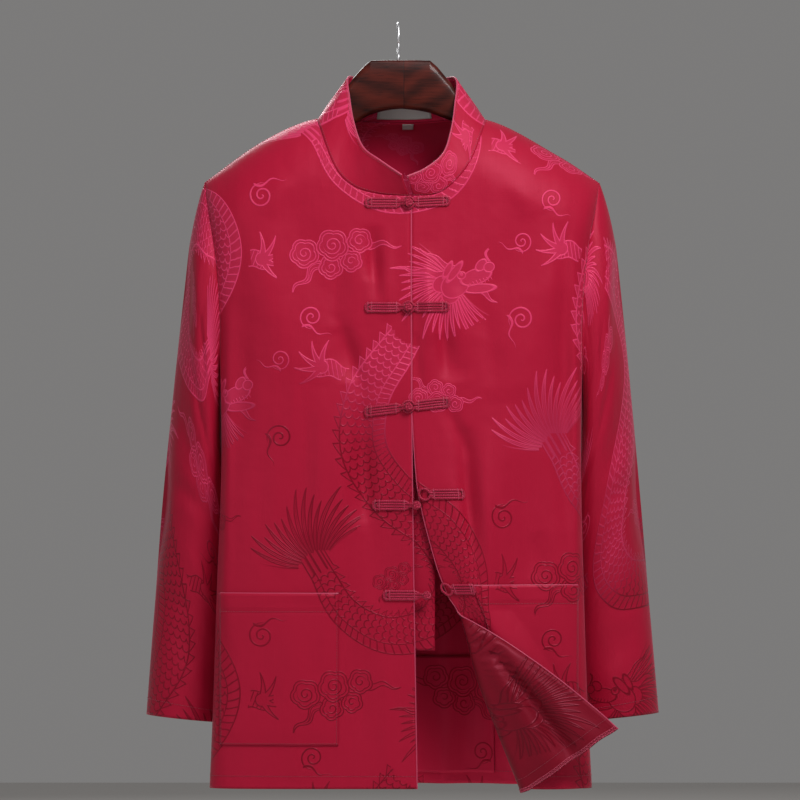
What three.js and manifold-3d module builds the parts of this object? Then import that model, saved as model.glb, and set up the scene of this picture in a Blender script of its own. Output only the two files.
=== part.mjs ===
// A Tang-style jacket in satin, hanging from a wooden hanger with a wire hook.
// Millimetres. The origin is the seat of the hook on its rod, +X is to the viewer's right,
// -Y is towards the viewer (the jacket's front) and +Z is up.
import * as THREE from 'three';
import { mergeVertices } from 'three/addons/utils/BufferGeometryUtils.js';
import Module from 'manifold-3d';

const wasm = await Module();
wasm.setup();

// Driving dimensions
const CLOTH = 1.6;                 // wall of the cloth
const SEAM = 0.3;                  // gap between neighbouring pieces
const HEM_Z = -842;                // level of the hem
const SHOULDER_TIP_Z = -175;       // end of the shoulder seam
const UNDERARM_Z = -400;
const CLOSURE_X = 14;              // the two fronts meet here
const SHOULDER_ROUND = 75;         // height over which the chest turns into the shoulder
const SHOULDER_SEAM_FORWARD = 9;   // the shoulder seam lies this far in front of the ridge
const NECK_U = 0.42;               // share of a panel's top edge taken by the neckline

const LEFT = -1;                   // the viewer's left, the wearer's right
const RIGHT = 1;

// Colours
const RED = 0xa81b3a;
const RED_DARK = 0x8c142e;
const WALNUT = 0x4a1c14;
const STEEL = 0xc4c6c8;
const WHITE = 0xe6e0dc;

const cloth = new THREE.MeshStandardMaterial({ color: RED, roughness: 0.45, side: THREE.DoubleSide });
const clothInside = new THREE.MeshStandardMaterial({ color: RED_DARK, roughness: 0.5 });
const cord = new THREE.MeshStandardMaterial({ color: RED_DARK, roughness: 0.4 });
const wood = new THREE.MeshStandardMaterial({ color: WALNUT, roughness: 0.25 });
const steel = new THREE.MeshStandardMaterial({ color: STEEL, roughness: 0.2, metalness: 1 });
const labelCloth = new THREE.MeshStandardMaterial({ color: WHITE, roughness: 0.7 });

// Small helpers
const lerp = (a, b, t) => a + (b - a) * t;
const clamp = (v, low, high) => Math.min(high, Math.max(low, v));
const smooth = (t) => {
  const c = clamp(t, 0, 1);
  return c * c * (3 - 2 * c);
};

// The value of one named column of a table, read smoothly at a position of its key column
function read(table, key, column, at) {
  const rising = table[table.length - 1][key] > table[0][key];
  const rows = rising ? table : [...table].reverse();
  const last = rows.length - 1;
  if (at <= rows[0][key]) return rows[0][column];
  if (at >= rows[last][key]) return rows[last][column];
  let i = 0;
  while (at > rows[i + 1][key]) i += 1;
  const slope = (j) => {
    const a = rows[Math.max(j - 1, 0)];
    const b = rows[Math.min(j + 1, last)];
    return (b[column] - a[column]) / (b[key] - a[key]);
  };
  const span = rows[i + 1][key] - rows[i][key];
  const t = (at - rows[i][key]) / span;
  const t2 = t * t;
  const t3 = t2 * t;
  return (2 * t3 - 3 * t2 + 1) * rows[i][column]
    + (t3 - 2 * t2 + t) * span * slope(i)
    + (3 * t2 - 2 * t3) * rows[i + 1][column]
    + (t3 - t2) * span * slope(i + 1);
}

// Levels of the body: half widths to each side, depths to front and back of the side seam
const LEVELS = [
  { z: -60, left: 214, right: 222, front: 58, back: 66, seamY: 0 },
  { z: -175, left: 214, right: 222, front: 60, back: 70, seamY: -2 },
  { z: -245, left: 205, right: 212, front: 60, back: 80, seamY: -6 },
  { z: -345, left: 198, right: 204, front: 58, back: 88, seamY: -12 },
  { z: -480, left: 195, right: 201, front: 54, back: 92, seamY: -18 },
  { z: -625, left: 200, right: 204, front: 50, back: 94, seamY: -20 },
  { z: -745, left: 204, right: 208, front: 46, back: 92, seamY: -20 },
  { z: HEM_Z, left: 208, right: 213, front: 44, back: 88, seamY: -20 },
];
const FRONT_SQUARENESS = 4.2;
const BACK_SQUARENESS = 2.1;

// The ridge of each shoulder, seen from the front
const RIDGE = {
  [LEFT]: [{ x: 0, z: -101 }, { x: 91, z: -104 }, { x: 150, z: -129 }, { x: 215, z: SHOULDER_TIP_Z }],
  [RIGHT]: [{ x: 0, z: -101 }, { x: 97, z: -105 }, { x: 178, z: -146 }, { x: 222, z: SHOULDER_TIP_Z }],
};

// Largest folds of the fronts: a line from one end to the other, its half width and depth
const FOLDS = [
  { x0: -27, z0: -222, x1: -29, z1: -285, width: 13, depth: 3.5 },
  { x0: 52, z0: -340, x1: 64, z1: -395, width: 15, depth: 4 },
  { x0: -66, z0: -335, x1: -54, z1: -395, width: 15, depth: 4 },
  { x0: -46, z0: -455, x1: -40, z1: -550, width: 14, depth: 4 },
  { x0: 70, z0: -445, x1: 76, z1: -590, width: 14, depth: 5 },
  { x0: -170, z0: -300, x1: -174, z1: -520, width: 16, depth: 4 },
  { x0: 174, z0: -290, x1: 180, z1: -560, width: 16, depth: 4 },
];

// Soft pleats of the hanging back, spread over its width and deepest at the hem
const BACK_PLEATS = [
  { at: -0.62, width: 0.075, depth: 13 },
  { at: -0.36, width: 0.08, depth: 11 },
  { at: -0.08, width: 0.085, depth: 9 },
  { at: 0.2, width: 0.08, depth: 12 },
  { at: 0.5, width: 0.075, depth: 10 },
  { at: 0.74, width: 0.07, depth: 12 },
];
const PLEATS_START_Z = -260;
const FOLD_REACH = 30;             // folds and pleats fade out where the body is shallower than this

function foldDepth(x, z) {
  let sum = 0;
  for (const fold of FOLDS) {
    const dx = fold.x1 - fold.x0;
    const dz = fold.z1 - fold.z0;
    const along = clamp(((x - fold.x0) * dx + (z - fold.z0) * dz) / (dx * dx + dz * dz), 0, 1);
    const away = Math.hypot(x - fold.x0 - along * dx, z - fold.z0 - along * dz);
    sum += fold.depth * Math.exp(-((away / fold.width) ** 2));
  }
  return sum;
}

function pleatDepth(u, z) {
  const grown = smooth((PLEATS_START_Z - z) / (PLEATS_START_Z - HEM_Z));
  let sum = 0;
  for (const pleat of BACK_PLEATS) sum += pleat.depth * Math.exp(-(((u - pleat.at) / pleat.width) ** 2));
  return sum * grown;
}

const halfWidth = (side, z) => read(LEVELS, 'z', side === LEFT ? 'left' : 'right', z);

// One quarter of the body's section at a level, as a run of points by girth from its middle
const SECTION_STEPS = 60;
const sectionCache = new Map();
function quarter(side, z, squareness, depth) {
  const name = `${side} ${z.toFixed(2)} ${squareness} ${depth.toFixed(3)}`;
  if (sectionCache.has(name)) return sectionCache.get(name);
  const width = halfWidth(side, z);
  const points = [];
  let girth = 0;
  for (let i = 0; i <= SECTION_STEPS; i += 1) {
    const angle = (i / SECTION_STEPS) * Math.PI / 2;
    const x = width * Math.sin(angle) ** (2 / squareness);
    const y = depth * Math.max(0, Math.cos(angle)) ** (2 / squareness);
    if (i > 0) girth += Math.hypot(x - points[i - 1].x, y - points[i - 1].y);
    points.push({ girth, x, y });
  }
  sectionCache.set(name, points);
  return points;
}

// The point of a quarter section at share t of its girth
function onQuarter(points, t) {
  const girth = clamp(t, 0, 1) * points[points.length - 1].girth;
  let i = 0;
  while (i < points.length - 2 && girth > points[i + 1].girth) i += 1;
  const part = (girth - points[i].girth) / (points[i + 1].girth - points[i].girth);
  return { x: lerp(points[i].x, points[i + 1].x, part), y: lerp(points[i].y, points[i + 1].y, part) };
}

// Share of the girth at which a quarter section reaches x
function girthShare(side, x, z, squareness, depth) {
  const points = quarter(side, z, squareness, depth);
  let i = 0;
  while (i < points.length - 2 && Math.abs(x) > points[i + 1].x) i += 1;
  const part = clamp((Math.abs(x) - points[i].x) / (points[i + 1].x - points[i].x), 0, 1);
  return lerp(points[i].girth, points[i + 1].girth, part) / points[points.length - 1].girth;
}
const frontShare = (side, x, z) => girthShare(side, x, z, FRONT_SQUARENESS, read(LEVELS, 'z', 'front', z));
const backShare = (side, x, z) => girthShare(side, x, z, BACK_SQUARENESS, read(LEVELS, 'z', 'back', z));

const ridgeZ = (side, x) => read(RIDGE[side], 'x', 'z', Math.abs(x));

// The distance down a panel from the ridge, for a level at x
function dropTo(side, x, z) {
  const fall = ridgeZ(side, x) - z;
  if (fall >= SHOULDER_ROUND) return SHOULDER_ROUND * (Math.PI / 2 - 1) + fall;
  return SHOULDER_ROUND * Math.acos(clamp(1 - fall / SHOULDER_ROUND, -1, 1));
}

// A point of the body's surface: side, share t of the half girth, and drop from the ridge.
// A positive drop goes down the named face, and a negative one crosses to the other face.
function bodyPoint(side, face, t, drop, u = 0) {
  const onFront = (face === 'front') === (drop >= 0);
  const turn = Math.min(Math.abs(drop) / SHOULDER_ROUND, Math.PI / 2);
  const straight = Math.max(0, Math.abs(drop) - SHOULDER_ROUND * Math.PI / 2);
  const squareness = onFront ? FRONT_SQUARENESS : BACK_SQUARENESS;
  let z = SHOULDER_TIP_Z;
  let at = { x: 0, y: 0 };
  for (let pass = 0; pass < 4; pass += 1) {
    const depth = read(LEVELS, 'z', onFront ? 'front' : 'back', z);
    at = onQuarter(quarter(side, z, face === 'front' ? FRONT_SQUARENESS : BACK_SQUARENESS, depth), t);
    z = ridgeZ(side, at.x) - SHOULDER_ROUND * (1 - Math.cos(turn)) - straight;
  }
  if (onFront !== (face === 'front')) {
    const depth = read(LEVELS, 'z', onFront ? 'front' : 'back', z);
    const width = halfWidth(side, z);
    at.y = depth * Math.max(0, 1 - (at.x / width) ** squareness) ** (1 / squareness);
  }
  const x = side * at.x;
  const reach = at.y * Math.sin(turn);
  const seamY = read(LEVELS, 'z', 'seamY', z);
  if (onFront) return new THREE.Vector3(x, seamY - reach + foldDepth(x, z) * smooth(reach / FOLD_REACH), z);
  return new THREE.Vector3(x, seamY + reach - pleatDepth(u, z) * smooth(reach / FOLD_REACH), z);
}

// Top edges of the fronts: neckline to the neck point at NECK_U, then the shoulder seam
const FRONT_TOP = {
  [LEFT]: [
    { u: 0, x: 13.6, z: -190 }, { u: 0.1, x: -22, z: -188 }, { u: 0.2, x: -51, z: -179 },
    { u: 0.3, x: -71, z: -157 }, { u: NECK_U, x: -90, z: -104.5 },
  ],
  [RIGHT]: [
    { u: 0, x: 14.4, z: -190 }, { u: 0.1, x: 44, z: -187 }, { u: 0.2, x: 66, z: -170 },
    { u: 0.3, x: 82, z: -146 }, { u: NECK_U, x: 97, z: -105.5 },
  ],
};
const BACK_NECK_DROP = 30;
const NECK_POINT_Z = -110;
const NECK_EASE = 4;               // the shoulder seam leaves the neck point within 1 / NECK_EASE of it
const ARMHOLE_EASE = 5;            // the armhole leaves the shoulder tip within 1 / ARMHOLE_EASE of it
const SHOULDER_SHARE = 0.93;

// Armholes, from the shoulder tip to the underarm: share of the half girth at each level
const ARMHOLE = [
  { v: 0, share: SHOULDER_SHARE, z: SHOULDER_TIP_Z },
  { v: 0.3, share: 0.885, z: -232 },
  { v: 0.6, share: 0.87, z: -300 },
  { v: 0.85, share: 0.9, z: -366 },
  { v: 1, share: 1, z: UNDERARM_Z },
];
const ARMHOLE_V = 0.34;            // share of a panel's side edge taken by the armhole

const frontTop = (side, u) => {
  if (u <= NECK_U) {
    const x = read(FRONT_TOP[side], 'u', 'x', u);
    const z = read(FRONT_TOP[side], 'u', 'z', u);
    return { t: frontShare(side, x, z) * (side * x < 0 ? -1 : 1), drop: dropTo(side, x, z) };
  }
  const neck = frontTop(side, NECK_U);
  const along = (u - NECK_U) / (1 - NECK_U);
  const drop = lerp(neck.drop, SHOULDER_SEAM_FORWARD, smooth(along * NECK_EASE));
  return { t: lerp(neck.t, SHOULDER_SHARE, along), drop };
};

const backTop = (side, u) => {
  const neckShare = backShare(side, FRONT_TOP[side].at(-1).x, NECK_POINT_Z);
  const overlap = SEAM + CLOTH / 2 - SHOULDER_SEAM_FORWARD;
  if (u <= NECK_U) {
    const turn = (u / NECK_U) * Math.PI / 2;
    return { t: neckShare * Math.sin(turn), drop: lerp(overlap, BACK_NECK_DROP, Math.cos(turn) ** 0.8) };
  }
  return { t: lerp(neckShare, SHOULDER_SHARE, (u - NECK_U) / (1 - NECK_U)), drop: overlap };
};

// The place (share of girth, drop) of a level on one face of the body
function placeAt(side, face, t, z) {
  const front = face === 'front';
  const depth = read(LEVELS, 'z', face, z);
  const x = onQuarter(quarter(side, z, front ? FRONT_SQUARENESS : BACK_SQUARENESS, depth), Math.abs(t)).x;
  return { t, drop: dropTo(side, x, z) };
}

// The front edge of each front, from the collar to the hem
const CLOSURE_EDGE = [{ z: -190, left: 13.6, right: 14.4 }, { z: -430, left: 14, right: 14.8 },
  { z: HEM_Z, left: 20, right: 14.8 }];
const SIDE_SEAM_SHARE = 0.9985;    // the panels stop this near the side seam, to leave the gap

// The place at share u of a panel's width on a level
function levelPlace(side, face, u, z) {
  const edgeX = read(CLOSURE_EDGE, 'z', side === LEFT ? 'left' : 'right', z);
  const inner = face === 'front' ? frontShare(side, edgeX, z) * side : 0;
  return placeAt(side, face, lerp(inner, SIDE_SEAM_SHARE, u), z);
}

// The armhole edge of a panel, from the shoulder tip at 0 to the underarm at 1
function armholePlace(side, face, along) {
  const share = Math.min(read(ARMHOLE, 'v', 'share', along), SIDE_SEAM_SHARE);
  const start = face === 'front' ? SHOULDER_SEAM_FORWARD : backTop(side, 1).drop;
  const place = placeAt(side, face, share, read(ARMHOLE, 'v', 'z', along));
  return { t: share, drop: lerp(start, place.drop, smooth(along * ARMHOLE_EASE)) };
}

// A panel's flat place (share of girth, drop). Below the underarm its rows are level.
const levelOf = (v) => lerp(UNDERARM_Z, HEM_Z, (v - ARMHOLE_V) / (1 - ARMHOLE_V));
function panelPlace(side, face, u, v) {
  if (v >= ARMHOLE_V) return levelPlace(side, face, u, levelOf(v));
  const top = face === 'front' ? frontTop : backTop;
  const w = v / ARMHOLE_V;
  const above = top(side, u);
  const below = levelPlace(side, face, u, UNDERARM_Z);
  const edge = armholePlace(side, face, w);
  const corner = top(side, 1);
  const foot = levelPlace(side, face, 1, UNDERARM_Z);
  const atEdge = (name) => edge[name] - lerp(corner[name], foot[name], w);
  const mix = (name) => lerp(above[name], below[name], w) + u * atEdge(name);
  return { t: mix('t'), drop: mix('drop') };
}

// A point of a front. A share below 0 reaches past the middle, to the closure.
function frontPoint(side, u, v) {
  const place = panelPlace(side, 'front', u, v);
  if (place.t >= 0) return bodyPoint(side, 'front', place.t, place.drop);
  return bodyPoint(-side, 'front', -place.t, place.drop);
}

// The turned-back corner of the wearer's left front.
// Below TURN_START_Z the edge lies over the panel. The fold runs from the edge to the hem.
const PULL = [
  { z: -430, shift: 0 }, { z: -503, shift: 5 }, { z: -537, shift: 11 }, { z: -576, shift: 21 },
  { z: -603, shift: 29 }, { z: -630, shift: 40 }, { z: -650, shift: 50 }, { z: -740, shift: 24 },
  { z: HEM_Z, shift: -6 },
];
const PULL_REACH = 110;            // width of cloth that bunches up beside the pulled edge
const PULL_END_X = 200;
const PULL_BULGE = 10;             // how far the bunched cloth stands out
const TURN_START_Z = -645;
const TURN_SLOPE = 0.69;           // how far the fold moves in for each mm that it falls
const TURN_ROUND = 10;             // radius of the fold
const TURN_DIRECTION = new THREE.Vector3(97, 0, 69);   // from the fold to the edge, at the hem
const TURN_NORMAL = new THREE.Vector3(-0.93, 0, -0.36);
const FLAP_LIFT = 12;              // the edge stands this much off the panel at the tip
const FLAP_RISE = 7;               // how far the turned face arches up between fold and edge
const FLAP_BELLY = 5;              // how far it arches out
const TURN_GROWS_OVER = 0.45;      // share of the turn's height over which the fold rounds out
const PULL_GROWS_OVER = 150;

function pulled(p) {
  const shift = read(PULL, 'z', 'shift', p.z);
  const foldX = CLOSURE_X + TURN_SLOPE * Math.max(0, TURN_START_Z - p.z);
  const reach = Math.min(PULL_REACH, PULL_END_X - foldX);
  const part = (p.x - foldX) / reach;
  const fade = 1 - smooth(part);
  const grown = smooth((PULL[0].z - p.z) / PULL_GROWS_OVER);
  const bulge = PULL_BULGE * grown * Math.sin(Math.PI * clamp(part, 0, 1));
  return new THREE.Vector3(p.x + shift * fade, p.y - bulge, p.z);
}

function turnedPoint(p) {
  const fall = TURN_START_Z - p.z;
  const foldX = CLOSURE_X + TURN_SLOPE * Math.max(0, fall);
  const past = foldX - p.x;
  if (fall <= 0 || past <= 0) return pulled(p);
  const share = clamp(fall / (TURN_START_Z - HEM_Z), 0, 1);
  const whole = foldX - CLOSURE_X;
  const round = TURN_ROUND * Math.sin(Math.min(1, share / TURN_GROWS_OVER) * Math.PI / 2);
  const roll = Math.PI * round;
  const base = pulled(new THREE.Vector3(foldX, p.y, p.z));
  const angle = Math.min(past / roll, 1) * Math.PI;
  const run = past > roll ? (past - roll) / (whole - roll) : 0;
  const rise = FLAP_RISE * Math.sin(Math.PI * share) * run;
  const belly = FLAP_BELLY * Math.sin(Math.PI * run) * share;
  const out = round * (1 - Math.cos(angle)) + FLAP_LIFT * share * run + belly;
  return new THREE.Vector3(
    base.x + TURN_NORMAL.x * round * Math.sin(angle) + TURN_DIRECTION.x * share * run,
    base.y - out,
    base.z + TURN_NORMAL.z * round * Math.sin(angle) + TURN_DIRECTION.z * share * run + rise,
  );
}

const frontRight = (u, v) => frontPoint(LEFT, u, v);
const frontLeft = (u, v) => turnedPoint(frontPoint(RIGHT, u, v));

function backPoint(u, v) {
  const side = u < 0 ? LEFT : RIGHT;
  const place = panelPlace(side, 'back', Math.abs(u), v);
  return bodyPoint(side, 'back', Math.max(place.t, 0), place.drop, u);
}

// Unit normal of a surface function by small differences
const NUDGE = 1e-3;
function normalAt(surface, u, v, rangeU = [0, 1]) {
  const u0 = Math.max(rangeU[0], u - NUDGE);
  const u1 = Math.min(rangeU[1], u + NUDGE);
  const v0 = Math.max(0, v - NUDGE);
  const v1 = Math.min(1, v + NUDGE);
  const alongU = surface(u1, v).sub(surface(u0, v));
  const alongV = surface(u, v1).sub(surface(u, v0));
  return alongU.cross(alongV).normalize();
}

// A solid wall of cloth from rows of middle points and normals; closed joins the row's ends
function wall(rows, normals, { thickness = CLOTH, closed = false } = {}) {
  const columns = rows[0].length;
  const positions = [];
  const index = [];
  const count = rows.length * columns;
  for (const sign of [1, -1]) {
    rows.forEach((row, r) => row.forEach((p, c) => {
      const q = p.clone().addScaledVector(normals[r][c], sign * thickness / 2);
      positions.push(q.x, q.y, q.z);
    }));
  }
  const id = (layer, r, c) => layer * count + r * columns + (c % columns);
  const quad = (a, b, c, d) => index.push(a, b, c, a, c, d);
  const spans = closed ? columns : columns - 1;
  for (let r = 0; r < rows.length - 1; r += 1) {
    for (let c = 0; c < spans; c += 1) {
      quad(id(0, r, c), id(0, r, c + 1), id(0, r + 1, c + 1), id(0, r + 1, c));
      quad(id(1, r, c), id(1, r + 1, c), id(1, r + 1, c + 1), id(1, r, c + 1));
    }
  }
  const bottom = rows.length - 1;
  for (let c = 0; c < spans; c += 1) {
    quad(id(0, 0, c), id(1, 0, c), id(1, 0, c + 1), id(0, 0, c + 1));
    quad(id(0, bottom, c), id(0, bottom, c + 1), id(1, bottom, c + 1), id(1, bottom, c));
  }
  if (!closed) {
    for (let r = 0; r < bottom; r += 1) {
      quad(id(0, r, 0), id(0, r + 1, 0), id(1, r + 1, 0), id(1, r, 0));
      quad(id(0, r, spans), id(1, r, spans), id(1, r + 1, spans), id(0, r + 1, spans));
    }
  }
  const geometry = new THREE.BufferGeometry();
  geometry.setAttribute('position', new THREE.Float32BufferAttribute(positions, 3));
  geometry.setIndex(index);
  geometry.computeVertexNormals();
  return geometry;
}

// Even steps between the values of a list, with a count for each stretch
function spread(stops, counts) {
  const values = [stops[0]];
  counts.forEach((count, i) => {
    for (let k = 1; k <= count; k += 1) values.push(lerp(stops[i], stops[i + 1], k / count));
  });
  return values;
}

// A wall over a grid of places on a surface function, moved out along its normals
function panel(surface, us, vs, { out = 0, thickness = CLOTH } = {}) {
  const low = Math.min(0, ...us);
  const normals = vs.map((v) => us.map((u) => normalAt(surface, u, v, [low, 1])));
  const points = vs.map((v, r) => us.map((u, c) => surface(u, v).addScaledVector(normals[r][c], out)));
  return wall(points, normals, { thickness });
}

// Turns a geometry inside out where its volume comes out negative
function facingOut(geometry) {
  const position = geometry.attributes.position;
  const index = geometry.index.array;
  const at = (i) => new THREE.Vector3().fromBufferAttribute(position, i);
  let volume = 0;
  for (let i = 0; i < index.length; i += 3) {
    volume += at(index[i]).dot(at(index[i + 1]).cross(at(index[i + 2]))) / 6;
  }
  if (volume < 0) {
    for (let i = 0; i < index.length; i += 3) {
      const swap = index[i + 1];
      index[i + 1] = index[i + 2];
      index[i + 2] = swap;
    }
  }
  return geometry;
}

const group = new THREE.Group();
function add(name, geometry, material) {
  const mesh = new THREE.Mesh(facingOut(geometry), material);
  mesh.name = name;
  group.add(mesh);
  return mesh;
}

// The point of a front at x and z as it was cut, before the corner is turned back
function frontAt(side, x, z) {
  const half = side * x < 0 ? -side : side;
  const place = placeAt(half, 'front', frontShare(half, x, z), z);
  const p = bodyPoint(half, 'front', place.t, place.drop);
  return side === RIGHT ? turnedPoint(p) : p;
}

// A rectangle of a front from x0 up to x1, as a surface function whose normal points out
const frontField = (side, x0, x1, z0, z1) => (u, v) => frontAt(side, lerp(x1, x0, u), lerp(z0, z1, v));

// Pockets and the rows and columns of the fronts, which run along the pockets' edges
const ON_PANEL = CLOTH + SEAM;
const ON_CURVE = 0.4;              // more room where a piece lies on a curved panel
const POCKETS = {
  [LEFT]: { inner: -66, outer: -196, top: -627, bottom: -794 },
  [RIGHT]: { inner: 62, outer: 197, top: -618, bottom: -785 },
};
const rowOf = (z) => lerp(ARMHOLE_V, 1, (UNDERARM_Z - z) / (UNDERARM_Z - HEM_Z));
function columnOf(side, x, z) {
  const inner = levelPlace(side, 'front', 0, z).t;
  return (frontShare(side, x, z) - inner) / (SIDE_SEAM_SHARE - inner);
}
const GRID = {};
for (const side of [LEFT, RIGHT]) {
  const pocket = POCKETS[side];
  const middle = (pocket.top + pocket.bottom) / 2;
  const columns = [0, columnOf(side, pocket.inner, middle), columnOf(side, pocket.outer, middle), 1];
  const rows = [0, 0.06, ARMHOLE_V, rowOf(pocket.top), rowOf(pocket.bottom), 1];
  GRID[side] = {
    columns: spread(columns, side === LEFT ? [8, 11, 3] : [9, 14, 3]),
    rows: spread(rows, [3, 9, 8, side === LEFT ? 5 : 8, 2]),
    pocketColumns: side === LEFT ? [8, 19] : [9, 23],
    pocketRows: side === LEFT ? [20, 25] : [20, 28],
  };
}

// Body panels
add('front_right', panel(frontRight, GRID[LEFT].columns, GRID[LEFT].rows), cloth);
add('front_left', panel(frontLeft, GRID[RIGHT].columns, GRID[RIGHT].rows), cloth);
add('back', panel(backPoint, spread([-1, 1], [32]), spread([0, 0.1, ARMHOLE_V, 1], [5, 6, 10])), cloth);

// Underlap behind the closure, sewn to the wearer's right front
const UNDERLAP = {
  x0: -8, x1: 40, top: -196, bottom: -690, behind: CLOTH + 3.5 * SEAM, sag: 6, sagTop: -400, sagOver: 90,
};
function underlapPoint(u, v) {
  const z = lerp(UNDERLAP.top, UNDERLAP.bottom, v);
  const p = frontAt(LEFT, lerp(UNDERLAP.x1, UNDERLAP.x0, u), z);
  p.y += UNDERLAP.sag * smooth((UNDERLAP.sagTop - z) / UNDERLAP.sagOver);
  return p;
}
add('underlap', panel(underlapPoint, spread([0, 1], [5]), spread([0, 1], [18]),
  { out: -UNDERLAP.behind }), clothInside);

// Patch pockets, on the fronts' own points moved out
for (const [name, side, surface] of [['pocket_right', LEFT, frontRight], ['pocket_left', RIGHT, frontLeft]]) {
  const grid = GRID[side];
  const columns = grid.columns.slice(grid.pocketColumns[0], grid.pocketColumns[1] + 1);
  const rows = grid.rows.slice(grid.pocketRows[0], grid.pocketRows[1] + 1);
  add(name, panel(surface, columns, rows, { out: -side * (ON_PANEL + ON_CURVE) }), cloth);
}

// Patch on the inside of the back, behind the opening, along the back's own columns
const INNER_PATCH = { u0: -1 / 16, u1: 7 / 16, top: -700, bottom: -830 };
add('inner_patch', panel(backPoint, spread([INNER_PATCH.u0, INNER_PATCH.u1], [8]),
  spread([rowOf(INNER_PATCH.top), rowOf(INNER_PATCH.bottom)], [3]),
  { out: -ON_PANEL - ON_CURVE }), clothInside);

// Sleeves hang beside the body. Stations run from the armhole to the cuff along the top line.
const SLEEVES = {
  [LEFT]: [
    { s: 0, outX: -217, outZ: -176, inX: -201, inZ: -402, y: -4, deep: 44 },
    { s: 0.08, outX: -228, outZ: -222, inX: -202, inZ: -431, y: 0, deep: 47 },
    { s: 0.2, outX: -237, outZ: -294, inX: -201, inZ: -476, y: 8, deep: 50 },
    { s: 0.4, outX: -250, outZ: -411, inX: -199, inZ: -550, y: 22, deep: 50 },
    { s: 0.6, outX: -262, outZ: -529, inX: -197, inZ: -624, y: 32, deep: 47 },
    { s: 0.8, outX: -271, outZ: -647, inX: -194, inZ: -698, y: 37, deep: 43 },
    { s: 1, outX: -280, outZ: -764, inX: -190, inZ: -773, y: 39, deep: 39 },
  ],
  [RIGHT]: [
    { s: 0, outX: 225, outZ: -176, inX: 205, inZ: -402, y: -4, deep: 44 },
    { s: 0.08, outX: 237, outZ: -222, inX: 208, inZ: -431, y: 0, deep: 47 },
    { s: 0.2, outX: 246, outZ: -294, inX: 208, inZ: -476, y: 8, deep: 50 },
    { s: 0.4, outX: 258, outZ: -411, inX: 206, inZ: -550, y: 22, deep: 50 },
    { s: 0.6, outX: 269, outZ: -529, inX: 204, inZ: -624, y: 32, deep: 47 },
    { s: 0.8, outX: 279, outZ: -647, inX: 202, inZ: -698, y: 37, deep: 43 },
    { s: 1, outX: 289, outZ: -762, inX: 200, inZ: -771, y: 39, deep: 39 },
  ],
};
// Creases round the sleeves: station, half length, angle round the sleeve and depth
const SLEEVE_CREASES = [
  { s: 0.2, long: 0.08, angle: 0.5, wide: 0.5, depth: 5 },
  { s: 0.42, long: 0.06, angle: 1.1, wide: 0.6, depth: 4 },
  { s: 0.6, long: 0.1, angle: 0.2, wide: 0.45, depth: 5 },
  { s: 0.82, long: 0.07, angle: 1.4, wide: 0.5, depth: 3 },
  { s: 0.35, long: 0.1, angle: 4.4, wide: 0.5, depth: 5 },
  { s: 0.7, long: 0.08, angle: 4.9, wide: 0.6, depth: 4 },
];
const SLEEVE_SIDES = 24;
const SLEEVE_ROWS = 16;
const SLEEVE_CROWDING = 1.15;      // rows lie closer together near the armhole
const SLEEVE_HEAD = 0.12;          // share of the length over which the head leaves the armhole

// The seam of the sleeve on the armhole, just outside the edges of the panels.
// Angle 0 is the shoulder tip, a quarter turn is the front and a half turn the underarm.
function armholePoint(side, angle) {
  const turn = angle / Math.PI;
  const v = ARMHOLE_V * (turn <= 1 ? turn : 2 - turn);
  const p = turn <= 1 ? frontPoint(side, 1, v) : backPoint(side, v);
  p.x += side * (CLOTH + 2 * SEAM);
  return p;
}

function sleevePoint(side, angle, s) {
  const at = (column) => read(SLEEVES[side], 's', column, s);
  const x = lerp(at('inX'), at('outX'), (1 + Math.cos(angle)) / 2);
  const z = lerp(at('inZ'), at('outZ'), (1 + Math.cos(angle)) / 2);
  const y = at('y') - at('deep') * Math.sin(angle);
  let crease = 0;
  for (const c of SLEEVE_CREASES) {
    const away = Math.hypot((s - c.s) / c.long, (angle - c.angle) / c.wide);
    crease += c.depth * Math.exp(-(away ** 2));
  }
  const free = new THREE.Vector3(x - side * crease * Math.cos(angle), y + crease * Math.sin(angle), z);
  return armholePoint(side, angle).lerp(free, smooth(s / SLEEVE_HEAD));
}

function sleeve(side) {
  const points = [];
  const normals = [];
  const wrap = (angle) => (angle + 2 * Math.PI) % (2 * Math.PI);
  for (let r = 0; r <= SLEEVE_ROWS; r += 1) {
    const s = (r / SLEEVE_ROWS) ** SLEEVE_CROWDING;
    const row = [];
    const rowNormals = [];
    for (let c = 0; c < SLEEVE_SIDES; c += 1) {
      const angle = (c / SLEEVE_SIDES) * 2 * Math.PI;
      const ahead = sleevePoint(side, wrap(angle + 0.02), s);
      const behind = sleevePoint(side, wrap(angle - 0.02), s);
      const up = sleevePoint(side, angle, Math.max(0, s - 0.01));
      const down = sleevePoint(side, angle, Math.min(1, s + 0.01));
      row.push(sleevePoint(side, angle, s));
      rowNormals.push(ahead.sub(behind).cross(down.sub(up)).normalize());
    }
    points.push(row);
    normals.push(rowNormals);
  }
  return wall(points, normals, { closed: true });
}
add('sleeve_right', sleeve(LEFT), cloth);
add('sleeve_left', sleeve(RIGHT), cloth);

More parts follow.
